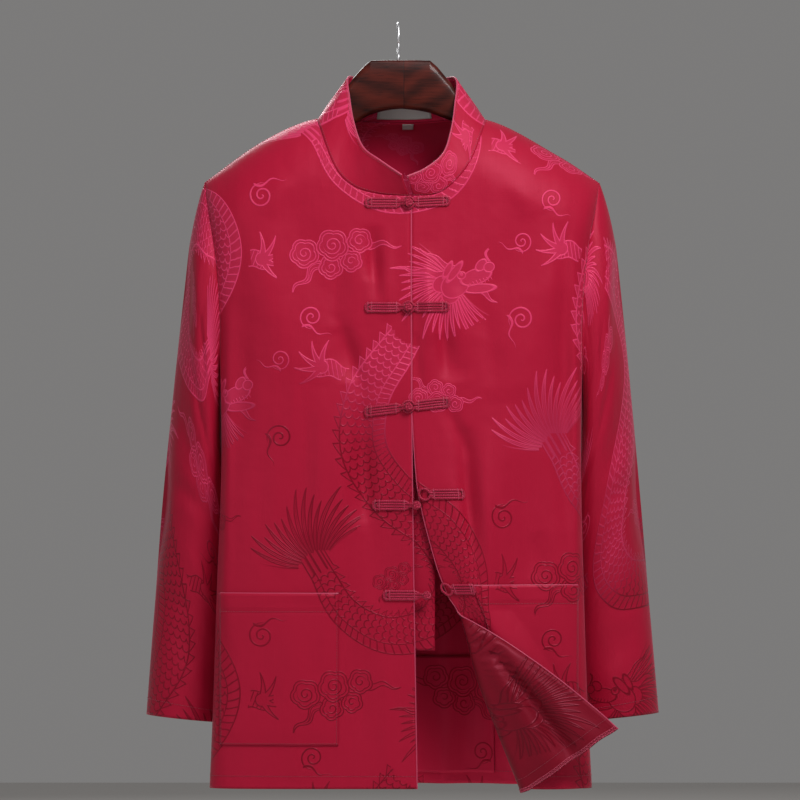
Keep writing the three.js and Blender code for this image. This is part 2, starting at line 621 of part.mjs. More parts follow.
// Stand collar: its foot follows the neckline, and its top edge is given by stations
const COLLAR_TOP = {
  [LEFT]: [
    { k: 0, x: 5, y: -79, z: -169 }, { k: 0.15, x: -20, y: -74, z: -152 },
    { k: 0.3, x: -39, y: -62, z: -137 }, { k: 0.45, x: -49, y: -44, z: -111 },
    { k: 0.6, x: -54.5, y: -20, z: -80 }, { k: 0.72, x: -56, y: 4, z: -58 },
    { k: 0.86, x: -42, y: 30, z: -58 }, { k: 1, x: 2, y: 42, z: -62 },
  ],
  [RIGHT]: [
    { k: 0, x: 8.5, y: -79, z: -170 }, { k: 0.15, x: 29, y: -73, z: -161 },
    { k: 0.3, x: 49, y: -60, z: -144 }, { k: 0.45, x: 58, y: -42, z: -118 },
    { k: 0.6, x: 62.5, y: -20, z: -88 }, { k: 0.72, x: 64, y: 4, z: -60 },
    { k: 0.86, x: 48, y: 30, z: -58 }, { k: 1, x: 2, y: 42, z: -62 },
  ],
};
const NECK_POINT_K = 0.66;
function collarPoint(round, v) {
  const side = round < 0 ? LEFT : RIGHT;
  const k = 1 - Math.abs(round);
  const foot = k <= NECK_POINT_K
    ? frontPoint(side, NECK_U * (k / NECK_POINT_K), 0)
    : backPoint(side * NECK_U * (1 - (k - NECK_POINT_K) / (1 - NECK_POINT_K)), 0);
  const at = (column) => read(COLLAR_TOP[side], 'k', column, k);
  const top = new THREE.Vector3(at('x'), at('y'), at('z'));
  const rise = top.clone().sub(foot);
  const clear = (CLOTH + SEAM) / rise.length();
  return foot.addScaledVector(rise, lerp(clear, 1, v));
}
const COLLAR_ENDS = 0.004;
add('collar', panel((u, v) => collarPoint(lerp(-1, 1, u), v),
  spread([COLLAR_ENDS, 1 - COLLAR_ENDS], [44]), spread([0, 1], [3])), cloth);

// Size labels, blank, on the inside of the collar and just below its seam
const TAPE = 0.8;
const insideCollar = (u, v) => collarPoint(lerp(-0.09, 0.13, u), lerp(0.62, 0.1, v));
add('neck_label', panel(insideCollar, spread([0, 1], [8]), spread([0, 1], [2]),
  { out: -ON_PANEL - ON_CURVE, thickness: TAPE }), labelCloth);
const belowCollar = (u, v) => backPoint(lerp(0.02, 0.085, u), lerp(0.006, 0.022, v));
add('size_label', panel(belowCollar, [0, 0.5, 1], [0, 1], { out: -ON_PANEL, thickness: TAPE }), labelCloth);

// Joins closed geometries into one solid
function solid(geometry) {
  const bare = geometry.clone();
  bare.deleteAttribute('normal');
  bare.deleteAttribute('uv');
  const merged = facingOut(mergeVertices(bare, 1e-4));
  return new wasm.Manifold(new wasm.Mesh({
    numProp: 3,
    vertProperties: Float32Array.from(merged.attributes.position.array),
    triVerts: Uint32Array.from(merged.index.array),
  }));
}
function joined(...geometries) {
  const whole = geometries.map(solid).reduce((a, b) => a.add(b));
  const mesh = whole.getMesh();
  const geometry = new THREE.BufferGeometry();
  geometry.setAttribute('position', new THREE.Float32BufferAttribute(Array.from(mesh.vertProperties), 3));
  geometry.setIndex(Array.from(mesh.triVerts));
  geometry.computeVertexNormals();
  return geometry;
}

// Frog fastenings: a strip of cord ending in a knot, and a strip ending in the loop for it
const FROG = {
  length: 38, height: 11.5, thick: 3.6, knot: 5, knotOut: 6.4, neck: 1.5, ring: 6.4, wire: 1.3, ringOut: 3,
  lift: 0.4, room: 1.2, inside: 2,
};
const FROGS = [
  { z: -198, tilt: 0, knotX: 11, loopZ: -198, loopTilt: 0.05, loopIn: -3 },
  { z: -313, tilt: 0, knotX: 11, loopZ: -313, loopTilt: 0.02, loopIn: -3 },
  { z: -422, tilt: -0.12, knotX: 11, loopZ: -422, loopTilt: 0.12, loopIn: -3 },
  { z: -530, tilt: 0, knotX: 20, loopZ: -518, loopTilt: 0, loopIn: 8 },
  { z: -629, tilt: 0, knotX: 31, loopZ: -622, loopTilt: 0, loopIn: 3 },
];

// A strip of cord on a front, with rounded ends, from the closure at x0 out to x1
function frogStrip(side, x0, x1, z, tilt) {
  const [right, left] = [Math.max(x0, x1), Math.min(x0, x1)];
  const field = (u, v) => {
    const x = lerp(right, left, u);
    const round = Math.sqrt(Math.max(0.02, 1 - Math.abs(2 * u - 1) ** 6));
    return frontAt(side, x, z + tilt * Math.abs(x - x0) + (0.5 - v) * FROG.height * round);
  };
  return panel(field, spread([0, 1], [8]), [0, 1],
    { out: CLOTH / 2 + SEAM + FROG.lift + FROG.thick / 2, thickness: FROG.thick });
}

// A frame on a front: its point, its outward normal and the way along +x
function frontFrame(side, x, z) {
  const step = 2;
  const p = frontAt(side, x, z);
  const along = frontAt(side, x + step, z).sub(frontAt(side, x - step, z)).normalize();
  const down = frontAt(side, x, z - step).sub(frontAt(side, x, z + step)).normalize();
  const normal = new THREE.Vector3().crossVectors(along, down).normalize();
  if (normal.y > 0) normal.negate();
  return { p, normal, along };
}

const turnFrom = (from, to) => new THREE.Quaternion().setFromUnitVectors(from, to);
function tubeBetween(a, b, radius, sides) {
  const run = b.clone().sub(a);
  const geometry = new THREE.CylinderGeometry(radius, radius, run.length(), sides);
  geometry.applyQuaternion(turnFrom(new THREE.Vector3(0, 1, 0), run.normalize()));
  const middle = a.clone().add(b).multiplyScalar(0.5);
  return geometry.translate(middle.x, middle.y, middle.z);
}

FROGS.forEach((frog, i) => {
  const knotFrame = frontFrame(LEFT, frog.knotX, frog.z);
  const centre = knotFrame.p.clone().addScaledVector(knotFrame.normal, FROG.knotOut);
  const knot = new THREE.SphereGeometry(FROG.knot, 8, 6).translate(centre.x, centre.y, centre.z);
  const stripEnd = frog.knotX - FROG.ring - FROG.wire - FROG.room;
  const anchor = frontFrame(LEFT, stripEnd - FROG.inside, frog.z);
  const neckEnd = anchor.p.clone().addScaledVector(anchor.normal, FROG.knotOut - FROG.lift);
  const neck = tubeBetween(neckEnd, centre, FROG.neck, 6);
  const knotStrip = frogStrip(LEFT, stripEnd, stripEnd - FROG.length, frog.z, frog.tilt);
  add(`frog_${i + 1}_knot`, joined(knotStrip, neck, knot), cord);

  const ringX = CLOSURE_X + frog.loopIn;
  const ringFrame = frontFrame(RIGHT, ringX, frog.loopZ);
  const ringAt = ringFrame.p.clone().addScaledVector(ringFrame.normal, FROG.ringOut);
  const ring = new THREE.TorusGeometry(FROG.ring, FROG.wire, 5, 12);
  ring.applyQuaternion(turnFrom(new THREE.Vector3(0, 0, 1), ringFrame.normal));
  ring.translate(ringAt.x, ringAt.y, ringAt.z);
  const loopStart = ringX + FROG.ring;
  const loopStrip = frogStrip(RIGHT, loopStart, loopStart + FROG.length, frog.loopZ, frog.loopTilt);
  add(`frog_${i + 1}_loop`, joined(loopStrip, ring), cord);
});

// Hanger: one shaped arm of wood, thickest at the middle, under both shoulders
const HANGER = [
  { x: -189, top: -165.2, bottom: -177, deep: 9 },
  { x: -182, top: -158.4, bottom: -183, deep: 12 },
  { x: -150, top: -133.4, bottom: -167, deep: 14 },
  { x: -110, top: -116.4, bottom: -147, deep: 13 },
  { x: -90, top: -112.2, bottom: -134, deep: 12 },
  { x: -80, top: -104, bottom: -127, deep: 11 },
  { x: -66, top: -82, bottom: -118, deep: 10 },
  { x: -50, top: -58, bottom: -110, deep: 10 },
  { x: -37, top: -44, bottom: -102, deep: 10 },
  { x: -31, top: -39, bottom: -99, deep: 10 },
  { x: -15, top: -38.5, bottom: -94.5, deep: 10 },
  { x: 2, top: -38.5, bottom: -92.5, deep: 10 },
  { x: 19, top: -38.5, bottom: -94, deep: 10 },
  { x: 35, top: -39, bottom: -97, deep: 10 },
  { x: 43, top: -46, bottom: -100, deep: 10 },
  { x: 58, top: -64, bottom: -106, deep: 10 },
  { x: 74, top: -88, bottom: -116, deep: 10 },
  { x: 87, top: -104.2, bottom: -127, deep: 11 },
  { x: 97, top: -113.2, bottom: -134, deep: 12 },
  { x: 116, top: -119.9, bottom: -147, deep: 13 },
  { x: 156, top: -136.4, bottom: -167, deep: 14 },
  { x: 190, top: -157.4, bottom: -183, deep: 12 },
  { x: 197, top: -166, bottom: -177, deep: 9 },
];
const HANGER_SIDES = 14;
const HANGER_SQUARENESS = 2.5;
function loft(stations, sides, squareness) {
  const positions = [];
  const index = [];
  stations.forEach((st) => {
    for (let i = 0; i < sides; i += 1) {
      const angle = (i / sides) * 2 * Math.PI;
      const squared = (value) => Math.sign(value) * Math.abs(value) ** (2 / squareness);
      const middle = (st.top + st.bottom) / 2;
      const half = (st.top - st.bottom) / 2;
      positions.push(st.x, st.deep * squared(Math.cos(angle)), middle + half * squared(Math.sin(angle)));
    }
  });
  const id = (r, i) => r * sides + (i % sides);
  for (let r = 0; r < stations.length - 1; r += 1) {
    for (let i = 0; i < sides; i += 1) {
      index.push(id(r, i), id(r, i + 1), id(r + 1, i + 1), id(r, i), id(r + 1, i + 1), id(r + 1, i));
    }
  }
  for (const [r, end] of [[0, stations[0]], [stations.length - 1, stations.at(-1)]]) {
    const centre = positions.length / 3;
    positions.push(end.x, 0, (end.top + end.bottom) / 2);
    for (let i = 0; i < sides; i += 1) {
      if (r === 0) index.push(centre, id(r, i + 1), id(r, i));
      else index.push(centre, id(r, i), id(r, i + 1));
    }
  }
  const geometry = new THREE.BufferGeometry();
  geometry.setAttribute('position', new THREE.Float32BufferAttribute(positions, 3));
  geometry.setIndex(index);
  geometry.computeVertexNormals();
  return geometry;
}
add('hanger_arm', loft(HANGER, HANGER_SIDES, HANGER_SQUARENESS), wood);

// Hook of round wire in the plane across the arm. Its inside rests on the rod at the origin.
const HOOK = { wire: 2, bend: 16, foot: -38.5 + SEAM, stem: -34 };
const hookPoints = [new THREE.Vector3(0, 0, HOOK.foot), new THREE.Vector3(0, 0, HOOK.stem)];
const hookCentreZ = HOOK.wire - HOOK.bend;
const HOOK_FROM = -62;             // degrees from +Y, where the bend leaves the stem
const HOOK_TO = 205;
const HOOK_STEPS = 16;
for (let i = 0; i <= HOOK_STEPS; i += 1) {
  const angle = (lerp(HOOK_FROM, HOOK_TO, i / HOOK_STEPS) * Math.PI) / 180;
  const [y, z] = [HOOK.bend * Math.cos(angle), hookCentreZ + HOOK.bend * Math.sin(angle)];
  hookPoints.push(new THREE.Vector3(0, y, z));
}
const hookCurve = new THREE.CatmullRomCurve3(hookPoints, false, 'centripetal');
const wireSection = new THREE.Shape();
wireSection.absarc(0, 0, HOOK.wire, 0, 2 * Math.PI);
const hook = new THREE.ExtrudeGeometry(wireSection, { steps: 26, extrudePath: hookCurve, curveSegments: 4 });
add('hook', joined(hook), steel);

export default group;
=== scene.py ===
"""A satin jacquard jacket on a wooden hanger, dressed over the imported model.

Sizes are millimetres in the tables and metres in the meshes. +X is to the viewer's right, -Y towards
the viewer and +Z up. The origin is the seat of the hook on its rod.
"""
from __future__ import annotations

import logging
import math
from dataclasses import dataclass, field
from enum import Enum, IntEnum
from functools import partial
from typing import Callable, Iterable, Sequence

import bpy
import numpy as np
from bpy.types import Material, Node, NodeSocket, NodeTree, Object
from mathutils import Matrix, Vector

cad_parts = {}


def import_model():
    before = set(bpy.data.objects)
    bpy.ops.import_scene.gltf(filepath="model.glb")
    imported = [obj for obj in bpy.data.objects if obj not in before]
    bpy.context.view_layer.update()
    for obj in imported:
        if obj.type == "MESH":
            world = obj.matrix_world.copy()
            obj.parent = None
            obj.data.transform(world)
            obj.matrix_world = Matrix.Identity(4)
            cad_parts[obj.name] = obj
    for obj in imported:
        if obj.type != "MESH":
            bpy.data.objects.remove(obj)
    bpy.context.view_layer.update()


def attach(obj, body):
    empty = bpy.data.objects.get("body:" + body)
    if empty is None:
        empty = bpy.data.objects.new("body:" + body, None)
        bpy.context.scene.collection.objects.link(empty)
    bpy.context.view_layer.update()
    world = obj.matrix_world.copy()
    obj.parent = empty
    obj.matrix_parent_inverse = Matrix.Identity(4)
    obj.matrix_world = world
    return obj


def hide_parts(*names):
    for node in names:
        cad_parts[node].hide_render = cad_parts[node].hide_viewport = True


LOG = logging.getLogger("jacket")
MM = 0.001
Values = np.ndarray
Surface = Callable[[Values, Values], Values]


class Side(IntEnum):
    """Which half of the jacket, named from the viewer."""

    LEFT = -1
    RIGHT = 1


class Face(Enum):
    """The front or the back of the body."""

    FRONT = "front"
    BACK = "back"


def smooth(t: Values) -> Values:
    """An ease from 0 to 1 over t from 0 to 1."""
    c = np.clip(t, 0.0, 1.0)
    return c * c * (3.0 - 2.0 * c)


def lerp(a: Values, b: Values, t: Values) -> Values:
    """A straight blend of a and b."""
    return a + (b - a) * t


@dataclass(frozen=True)
class Table:
    """Rows of numbers under named columns, read smoothly by the first column."""

    columns: tuple[str, ...]
    rows: tuple[tuple[float, ...], ...]

    def at(self, column: str, where: Values | float) -> Values:
        """Reads one column.

        Args:
            column: its name.
            where: positions in the first column.

        Returns:
            The values there, eased between the rows.
        """
        data = np.array(self.rows, float)
        data = data[np.argsort(data[:, 0])]
        keys, values = data[:, 0], data[:, self.columns.index(column)]
        last = len(keys) - 1
        spot = np.clip(np.asarray(where, float), keys[0], keys[-1])
        i = np.clip(np.searchsorted(keys, spot, side="right") - 1, 0, last - 1)
        before, after = np.maximum(np.arange(last + 1) - 1, 0), np.minimum(np.arange(last + 1) + 1, last)
        slope = (values[after] - values[before]) / (keys[after] - keys[before])
        span = keys[i + 1] - keys[i]
        t = (spot - keys[i]) / span
        t2, t3 = t * t, t * t * t
        return (
            (2 * t3 - 3 * t2 + 1) * values[i]
            + (t3 - 2 * t2 + t) * span * slope[i]
            + (3 * t2 - 2 * t3) * values[i + 1]
            + (t3 - t2) * span * slope[i + 1]
        )


def by_side(tables: dict[Side, Table], side: Values, column: str, where: Values) -> Values:
    """Reads a column in the table of each point's side."""
    return np.where(side < 0, tables[Side.LEFT].at(column, where), tables[Side.RIGHT].at(column, where))


HEM_Z = -842.0
SHOULDER_TIP_Z = -175.0
UNDERARM_Z = -400.0
CLOSURE_X = 14.0
SHOULDER_ROUND = 75.0
SHOULDER_SEAM_FORWARD = 9.0
NECK_U = 0.42
ARMHOLE_V = 0.34
SHOULDER_SHARE = 0.93
BACK_NECK_DROP = 30.0
PLEATS_START_Z = -260.0
SEAM_SHARE = 1.0
SQUARENESS = {Face.FRONT: 4.2, Face.BACK: 2.1}
SECTION_STEPS = 60
SEAM_GAP = 0.2
# Reach of the body over which its folds fade in from the shoulder
FOLD_EASE = 30.0
# Length over which a crease of the back fades in at its top and out at its foot
CREASE_FADE_IN, CREASE_FADE_OUT = 60, 90
# Rounds that settle a point's height, which depends on itself through the ridge
SETTLING_ROUNDS = 4
# Levels between which the flat cloth is measured
CUT_RIDGE_Z, CUT_TOP_Z = -100.0, -60.0
BACK_NECK_TIP = {Side.LEFT: 90.0, Side.RIGHT: 97.0}
BACK_NECK_Z = -110.0
# Lengths of the cloth that set how finely a panel is divided
FRONT_WIDTH, BACK_WIDTH = 232, 480
ARMHOLE_LENGTH, SIDE_LENGTH = 270, 442
# Patch pockets: inner and outer edge, mouth and foot
POCKETS = {
    Side.LEFT: (-66.0, -196.0, -627.0, -794.0),
    Side.RIGHT: (62.0, 197.0, -618.0, -785.0),
}

LEVELS = Table(
    ("z", "left", "right", "front", "back", "seam_y"),
    (
        (-60, 214, 222, 58, 66, 0),
        (-175, 214, 222, 60, 70, -2),
        (-245, 205, 212, 60, 80, -6),
        (-345, 198, 204, 58, 88, -12),
        (-480, 195, 201, 54, 92, -18),
        (-625, 200, 204, 50, 94, -20),
        (-745, 204, 208, 46, 92, -20),
        (HEM_Z, 208, 213, 44, 88, -20),
    ),
)
RIDGES = {
    Side.LEFT: Table(("x", "z"), ((0, -101), (91, -104), (150, -129), (215, SHOULDER_TIP_Z))),
    Side.RIGHT: Table(("x", "z"), ((0, -101), (97, -105), (178, -146), (222, SHOULDER_TIP_Z))),
}
NECKLINES = {
    Side.LEFT: Table(
        ("u", "x", "z"),
        ((0, 13.6, -190), (0.1, -22, -188), (0.2, -51, -179), (0.3, -71, -157), (NECK_U, -90, -104.5)),
    ),
    Side.RIGHT: Table(
        ("u", "x", "z"),
        ((0, 14.4, -190), (0.1, 44, -187), (0.2, 66, -170), (0.3, 82, -146), (NECK_U, 97, -105.5)),
    ),
}
ARMHOLE = Table(
    ("v", "share", "z"),
    (
        (0, SHOULDER_SHARE, SHOULDER_TIP_Z),
        (0.3, 0.885, -232),
        (0.6, 0.87, -300),
        (0.85, 0.9, -366),
        (1, 1, UNDERARM_Z),
    ),
)
CLOSURE_EDGE = Table(("z", "left", "right"), ((-190, 13.6, 14.4), (-430, 14, 14.8), (HEM_Z, 20, 14.8)))
PULL = Table(
    ("z", "shift"),
    (
        (-430, 0),
        (-503, 5),
        (-537, 11),
        (-576, 21),
        (-603, 29),
        (-630, 40),
        (-650, 50),
        (-740, 24),
        (HEM_Z, -6),
    ),
)

# Folds of the fronts: a line from one end to the other, half width and depth. A negative depth is a ridge.
CAD_FOLDS = (
    (-27, -222, -29, -285, 13, 3.5),
    (52, -340, 64, -395, 15, 4),
    (-66, -335, -54, -395, 15, 4),
    (-46, -455, -40, -550, 14, 4),
    (70, -445, 76, -590, 14, 5),
    (-170, -300, -174, -520, 16, 4),
    (174, -290, 180, -560, 16, 4),
)
FINE_FOLDS = (
    (-30, -370, -22, -660, 24, 6.0),
    (-78, -400, -84, -640, 26, -4.0),
    (-120, -180, -62, -350, 22, 3.0),
    (-165, -200, -118, -400, 20, -3.0),
    (150, -195, 88, -345, 24, 3.0),
    (182, -230, 128, -420, 20, -3.0),
    (36, -240, 30, -400, 14, -3.2),
    (112, -420, 118, -640, 22, -3.4),
    (140, -400, 146, -640, 20, 3.6),
    (-108, -640, -112, -835, 24, -3.0),
    (-31, -226, -24, -306, 6, 4.0),
    (-14, -222, -11, -328, 6, -2.6),
    (44, -276, 52, -392, 7, 4.4),
    (29, -250, 34, -356, 6, -2.6),
    (64, -290, 66, -380, 8, -2.4),
    (-68, -318, -38, -412, 9, 4.4),
    (-43, -380, -35, -560, 8, 4.2),
    (-22, -400, -18, -580, 8, -2.6),
    (-60, -420, -62, -540, 10, -1.6),
    (48, -408, 76, -480, 8, 4.0),
    (73, -440, 72, -620, 8, 4.2),
    (93, -440, 96, -620, 9, -3.2),
    (118, -380, 122, -520, 14, -1.4),
    (150, -300, 158, -430, 12, 1.4),
    (193, -220, 197, -640, 6, -3.6),
    (180, -215, 184, -600, 9, 4.6),
    (-60, -238, -72, -330, 10, 2.6),
    (92, -300, 104, -400, 12, 2.8),
    (18, -340, 24, -410, 5, 2.4),
    (-52, -560, -60, -760, 14, 3.4),
    (-100, -395, -104, -560, 12, 2.6),
    (150, -560, 152, -612, 12, 2.4),
    (-120, -300, -112, -470, 16, -1.4),
    (-148, -420, -152, -590, 11, 1.6),
    (-188, -300, -190, -680, 7, -3.0),
    (-96, -560, -100, -620, 12, 1.4),
    (120, -170, 150, -215, 12, -1.6),
    (-120, -165, -146, -215, 12, -1.6),
    (-35, -640, -42, -800, 12, 1.8),
    (-12, -700, -14, -830, 9, -1.2),
)
BACK_PLEATS = (
    (-0.62, 0.075, 13),
    (-0.36, 0.08, 11),
    (-0.08, 0.085, 9),
    (0.2, 0.08, 12),
    (0.5, 0.075, 10),
    (0.74, 0.07, 12),
)
# Finer creases of the back: share of the width, top, foot, half width, depth
BACK_CREASES = (
    (-0.5, -300, -620, 0.03, 2.4),
    (-0.22, -420, -780, 0.028, -2.2),
    (0.06, -330, -560, 0.03, 2.0),
    (0.34, -470, -800, 0.03, -2.4),
    (0.62, -290, -520, 0.028, 2.2),
    (-0.8, -380, -640, 0.025, 1.8),
    (0.88, -420, -700, 0.025, 1.6),
)
# Ridges along the turned face: share of its width, half width and height. A negative height is a trough.
FLAP_RIDGES = ((0.27, 0.15, 5.0), (0.5, 0.085, -8.0), (0.72, 0.12, 4.0))


@dataclass(frozen=True)
class BodyForm:
    """The worn shape of the body: levels, shoulders, folds and the turned-back corner."""

    turn_start_z: float = -645.0
    turn_slope: float = 0.69
    turn_round: float = 10.0
    turn_direction: tuple[float, float, float] = (97.0, 0.0, 69.0)
    turn_normal: tuple[float, float, float] = (-0.93, 0.0, -0.36)
    # Share of the turned edge over which its roll grows to its whole radius
    roll_grows: float = 0.45
    flap_lift: float = 12.0
    flap_rise: float = 7.0
    flap_belly: float = 5.0
    flap_wave_depth: float = 1.2
    pull_from_z: float = -430.0
    pull_grows: float = 150.0
    pull_reach: float = 110.0
    pull_end_x: float = 200.0
    pull_bulge: float = 10.0

    def half_width(self, side: Values, z: Values) -> Values:
        """Half of the body's width to one side of the middle."""
        return np.where(side < 0, LEVELS.at("left", z), LEVELS.at("right", z))

    def ridge_z(self, side: Values, x: Values) -> Values:
        """The height of the shoulder's ridge."""
        return by_side(RIDGES, side, "z", np.abs(x))

    def section(
        self, side: Values, z: Values, squareness: float, depth: Values
    ) -> tuple[Values, Values, Values]:
        """A quarter of the body's section at each level.

        Args:
            side: -1 or 1 for each point.
            z: level of each point.
            squareness: power of the section's curve.
            depth: how deep the section is at each point.

        Returns:
            Girth from the middle, x and y, one row for each point.
        """
        angle = np.linspace(0.0, np.pi / 2, SECTION_STEPS + 1)
        x = self.half_width(side, z)[:, None] * np.sin(angle) ** (2 / squareness)
        y = depth[:, None] * np.clip(np.cos(angle), 0.0, None) ** (2 / squareness)
        steps = np.hypot(np.diff(x, axis=1), np.diff(y, axis=1))
        girth = np.concatenate([np.zeros((len(z), 1)), np.cumsum(steps, axis=1)], axis=1)
        return girth, x, y

    @staticmethod
    def along(keys: Values, target: Values, columns: Sequence[Values]) -> list[Values]:
        """Reads columns where a rising key column meets each row's target.

        Args:
            keys: rising values, one row for each point.
            target: what to look for in each row.
            columns: arrays of the same shape as keys.

        Returns:
            One array of values for each column.
        """
        i = np.clip((keys[:, 1:-1] < target[:, None]).sum(axis=1), 0, keys.shape[1] - 2)
        row = np.arange(len(keys))
        part = np.clip((target - keys[row, i]) / (keys[row, i + 1] - keys[row, i]), 0.0, 1.0)
        return [c[row, i] + (c[row, i + 1] - c[row, i]) * part for c in columns]

    def face_section(self, face: Face, side: Values, z: Values) -> tuple[Values, Values, Values]:
        """Girth, x and y of a face's quarter section at each level."""
        return self.section(side, z, SQUARENESS[face], LEVELS.at(face.value, z))

    def share(self, face: Face, side: Values, x: Values, z: Values) -> Values:
        """The share of the half girth at which a face reaches x."""
        girth, xs, _ = self.face_section(face, side, z)
        return self.along(xs, np.abs(x), [girth])[0] / girth[:, -1]

    def half_girth(self, face: Face, side: Values, z: Values) -> Values:
        """The length of cloth from the middle to the side seam at a level."""
        return self.face_section(face, side, z)[0][:, -1]

    def x_at(self, face: Face, side: Values, share: Values, z: Values) -> Values:
        """How far out a face is at a share of its half girth."""
        girth, xs, _ = self.face_section(face, side, z)
        return self.along(girth, np.clip(np.abs(share), 0.0, 1.0) * girth[:, -1], [xs])[0]

    def drop_to(self, side: Values, x: Values, z: Values) -> Values:
        """The distance down a panel from the ridge to a level."""
        fall = self.ridge_z(side, x) - z
        rounded = SHOULDER_ROUND * np.arccos(np.clip(1 - fall / SHOULDER_ROUND, -1.0, 1.0))
        return np.where(fall >= SHOULDER_ROUND, SHOULDER_ROUND * (np.pi / 2 - 1) + fall, rounded)

    def fold_depth(self, x: Values, z: Values) -> Values:
        """How far the folds of the fronts go in."""
        total = np.zeros_like(x)
        for x0, z0, x1, z1, width, depth in CAD_FOLDS + FINE_FOLDS:
            dx, dz = x1 - x0, z1 - z0
            at = np.clip(((x - x0) * dx + (z - z0) * dz) / (dx * dx + dz * dz), 0.0, 1.0)
            away = np.hypot(x - x0 - at * dx, z - z0 - at * dz)
            total += depth * np.exp(-((away / width) ** 2)) * np.sin(np.pi * at) ** 0.8
        return total

    def pleat_depth(self, u: Values, z: Values) -> Values:
        """How far the pleats and creases of the back go in."""
        grown = smooth((PLEATS_START_Z - z) / (PLEATS_START_Z - HEM_Z))
        total = sum(depth * np.exp(-(((u - at) / width) ** 2)) for at, width, depth in BACK_PLEATS) * grown
        for at, top, foot, width, depth in BACK_CREASES:
            ends = smooth((top - z) / CREASE_FADE_IN) * smooth((z - foot) / CREASE_FADE_OUT)
            total = total + depth * np.exp(-(((u - at) / width) ** 2)) * ends
        return total

    def point(self, side: Values, face: Face, share: Values, drop: Values, u: Values) -> Values:
        """A point of the body.

        Args:
            side: -1 or 1.
            face: the face that a positive drop goes down.
            share: share of the half girth from the middle.
            drop: distance from the shoulder's ridge; a negative one crosses to the other face.
            u: place over the width of the back, for its pleats.

        Returns:
            Points in millimetres.
        """
        on_front = (drop >= 0) == (face is Face.FRONT)
        turn = np.minimum(np.abs(drop) / SHOULDER_ROUND, np.pi / 2)
        straight = np.maximum(0.0, np.abs(drop) - SHOULDER_ROUND * np.pi / 2)
        squareness = np.where(on_front, SQUARENESS[Face.FRONT], SQUARENESS[Face.BACK])
        z = np.full(len(drop), SHOULDER_TIP_Z)
        x = y = z
        for _ in range(SETTLING_ROUNDS):
            depth = np.where(on_front, LEVELS.at("front", z), LEVELS.at("back", z))
            girth, xs, ys = self.section(side, z, SQUARENESS[face], depth)
            x, y = self.along(girth, np.clip(share, 0.0, 1.0) * girth[:, -1], [xs, ys])
            z = self.ridge_z(side, x) - SHOULDER_ROUND * (1 - np.cos(turn)) - straight
        depth = np.where(on_front, LEVELS.at("front", z), LEVELS.at("back", z))
        width = self.half_width(side, z)
        across = depth * np.maximum(0.0, 1 - (x / width) ** squareness) ** (1 / squareness)
        y = np.where(on_front == (face is Face.FRONT), y, across)
        reach = y * np.sin(turn)
        x = side * x
        ease = smooth(reach / FOLD_EASE)
        ahead = LEVELS.at("seam_y", z) - reach + self.fold_depth(x, z) * ease
        behind = LEVELS.at("seam_y", z) + reach - self.pleat_depth(u, z) * ease
        return np.stack([x, np.where(on_front, ahead, behind), z], axis=1)

    def front_top(self, side: Values, u: Values) -> tuple[Values, Values]:
        """The neckline and shoulder edge of a front, as share of girth and drop."""
        in_neck = np.minimum(u, NECK_U)
        x, z = by_side(NECKLINES, side, "x", in_neck), by_side(NECKLINES, side, "z", in_neck)
        share = self.share(Face.FRONT, side, x, z) * np.where(side * x < 0, -1.0, 1.0)
        drop = self.drop_to(side, x, z)
        on = np.clip((u - NECK_U) / (1 - NECK_U), 0.0, 1.0)
        return lerp(share, SHOULDER_SHARE, on), lerp(drop, SHOULDER_SEAM_FORWARD, smooth(on * 4))

    def back_top(self, side: Values, u: Values) -> tuple[Values, Values]:
        """The neckline and shoulder edge of the back."""
        tip = np.where(side < 0, BACK_NECK_TIP[Side.LEFT], BACK_NECK_TIP[Side.RIGHT])
        neck = self.share(Face.BACK, side, tip, np.full(len(u), BACK_NECK_Z))
        overlap = SEAM_GAP - SHOULDER_SEAM_FORWARD
        turn = np.clip(u / NECK_U, 0.0, 1.0) * np.pi / 2
        drop = lerp(overlap, BACK_NECK_DROP, np.clip(np.cos(turn), 0.0, 1.0) ** 0.8)
        on = np.clip((u - NECK_U) / (1 - NECK_U), 0.0, 1.0)
        in_neck = u <= NECK_U
        return (
            np.where(in_neck, neck * np.sin(turn), lerp(neck, SHOULDER_SHARE, on)),
            np.where(in_neck, drop, overlap),
        )

    def place_at(self, side: Values, face: Face, share: Values, z: Values) -> tuple[Values, Values]:
        """Share and drop of a level on a face."""
        return share, self.drop_to(side, self.x_at(face, side, share, z), z)

    def level_place(self, side: Values, face: Face, u: Values, z: Values) -> tuple[Values, Values]:
        """The place at share u of a panel's width on a level."""
        inner = np.zeros_like(z)
        if face is Face.FRONT:
            edge = np.where(side < 0, CLOSURE_EDGE.at("left", z), CLOSURE_EDGE.at("right", z))
            inner = self.share(face, side, edge, z) * side
        return self.place_at(side, face, lerp(inner, SEAM_SHARE, u), z)

    def armhole_place(self, side: Values, face: Face, at: Values) -> tuple[Values, Values]:
        """The armhole edge of a panel, from the shoulder tip at 0 to the underarm at 1."""
        share = np.minimum(ARMHOLE.at("share", at), SEAM_SHARE)
        ones = np.ones_like(at)
        start = SHOULDER_SEAM_FORWARD if face is Face.FRONT else self.back_top(side, ones)[1]
        _, drop = self.place_at(side, face, share, ARMHOLE.at("z", at))
        return share, lerp(start, drop, smooth(at * 5))

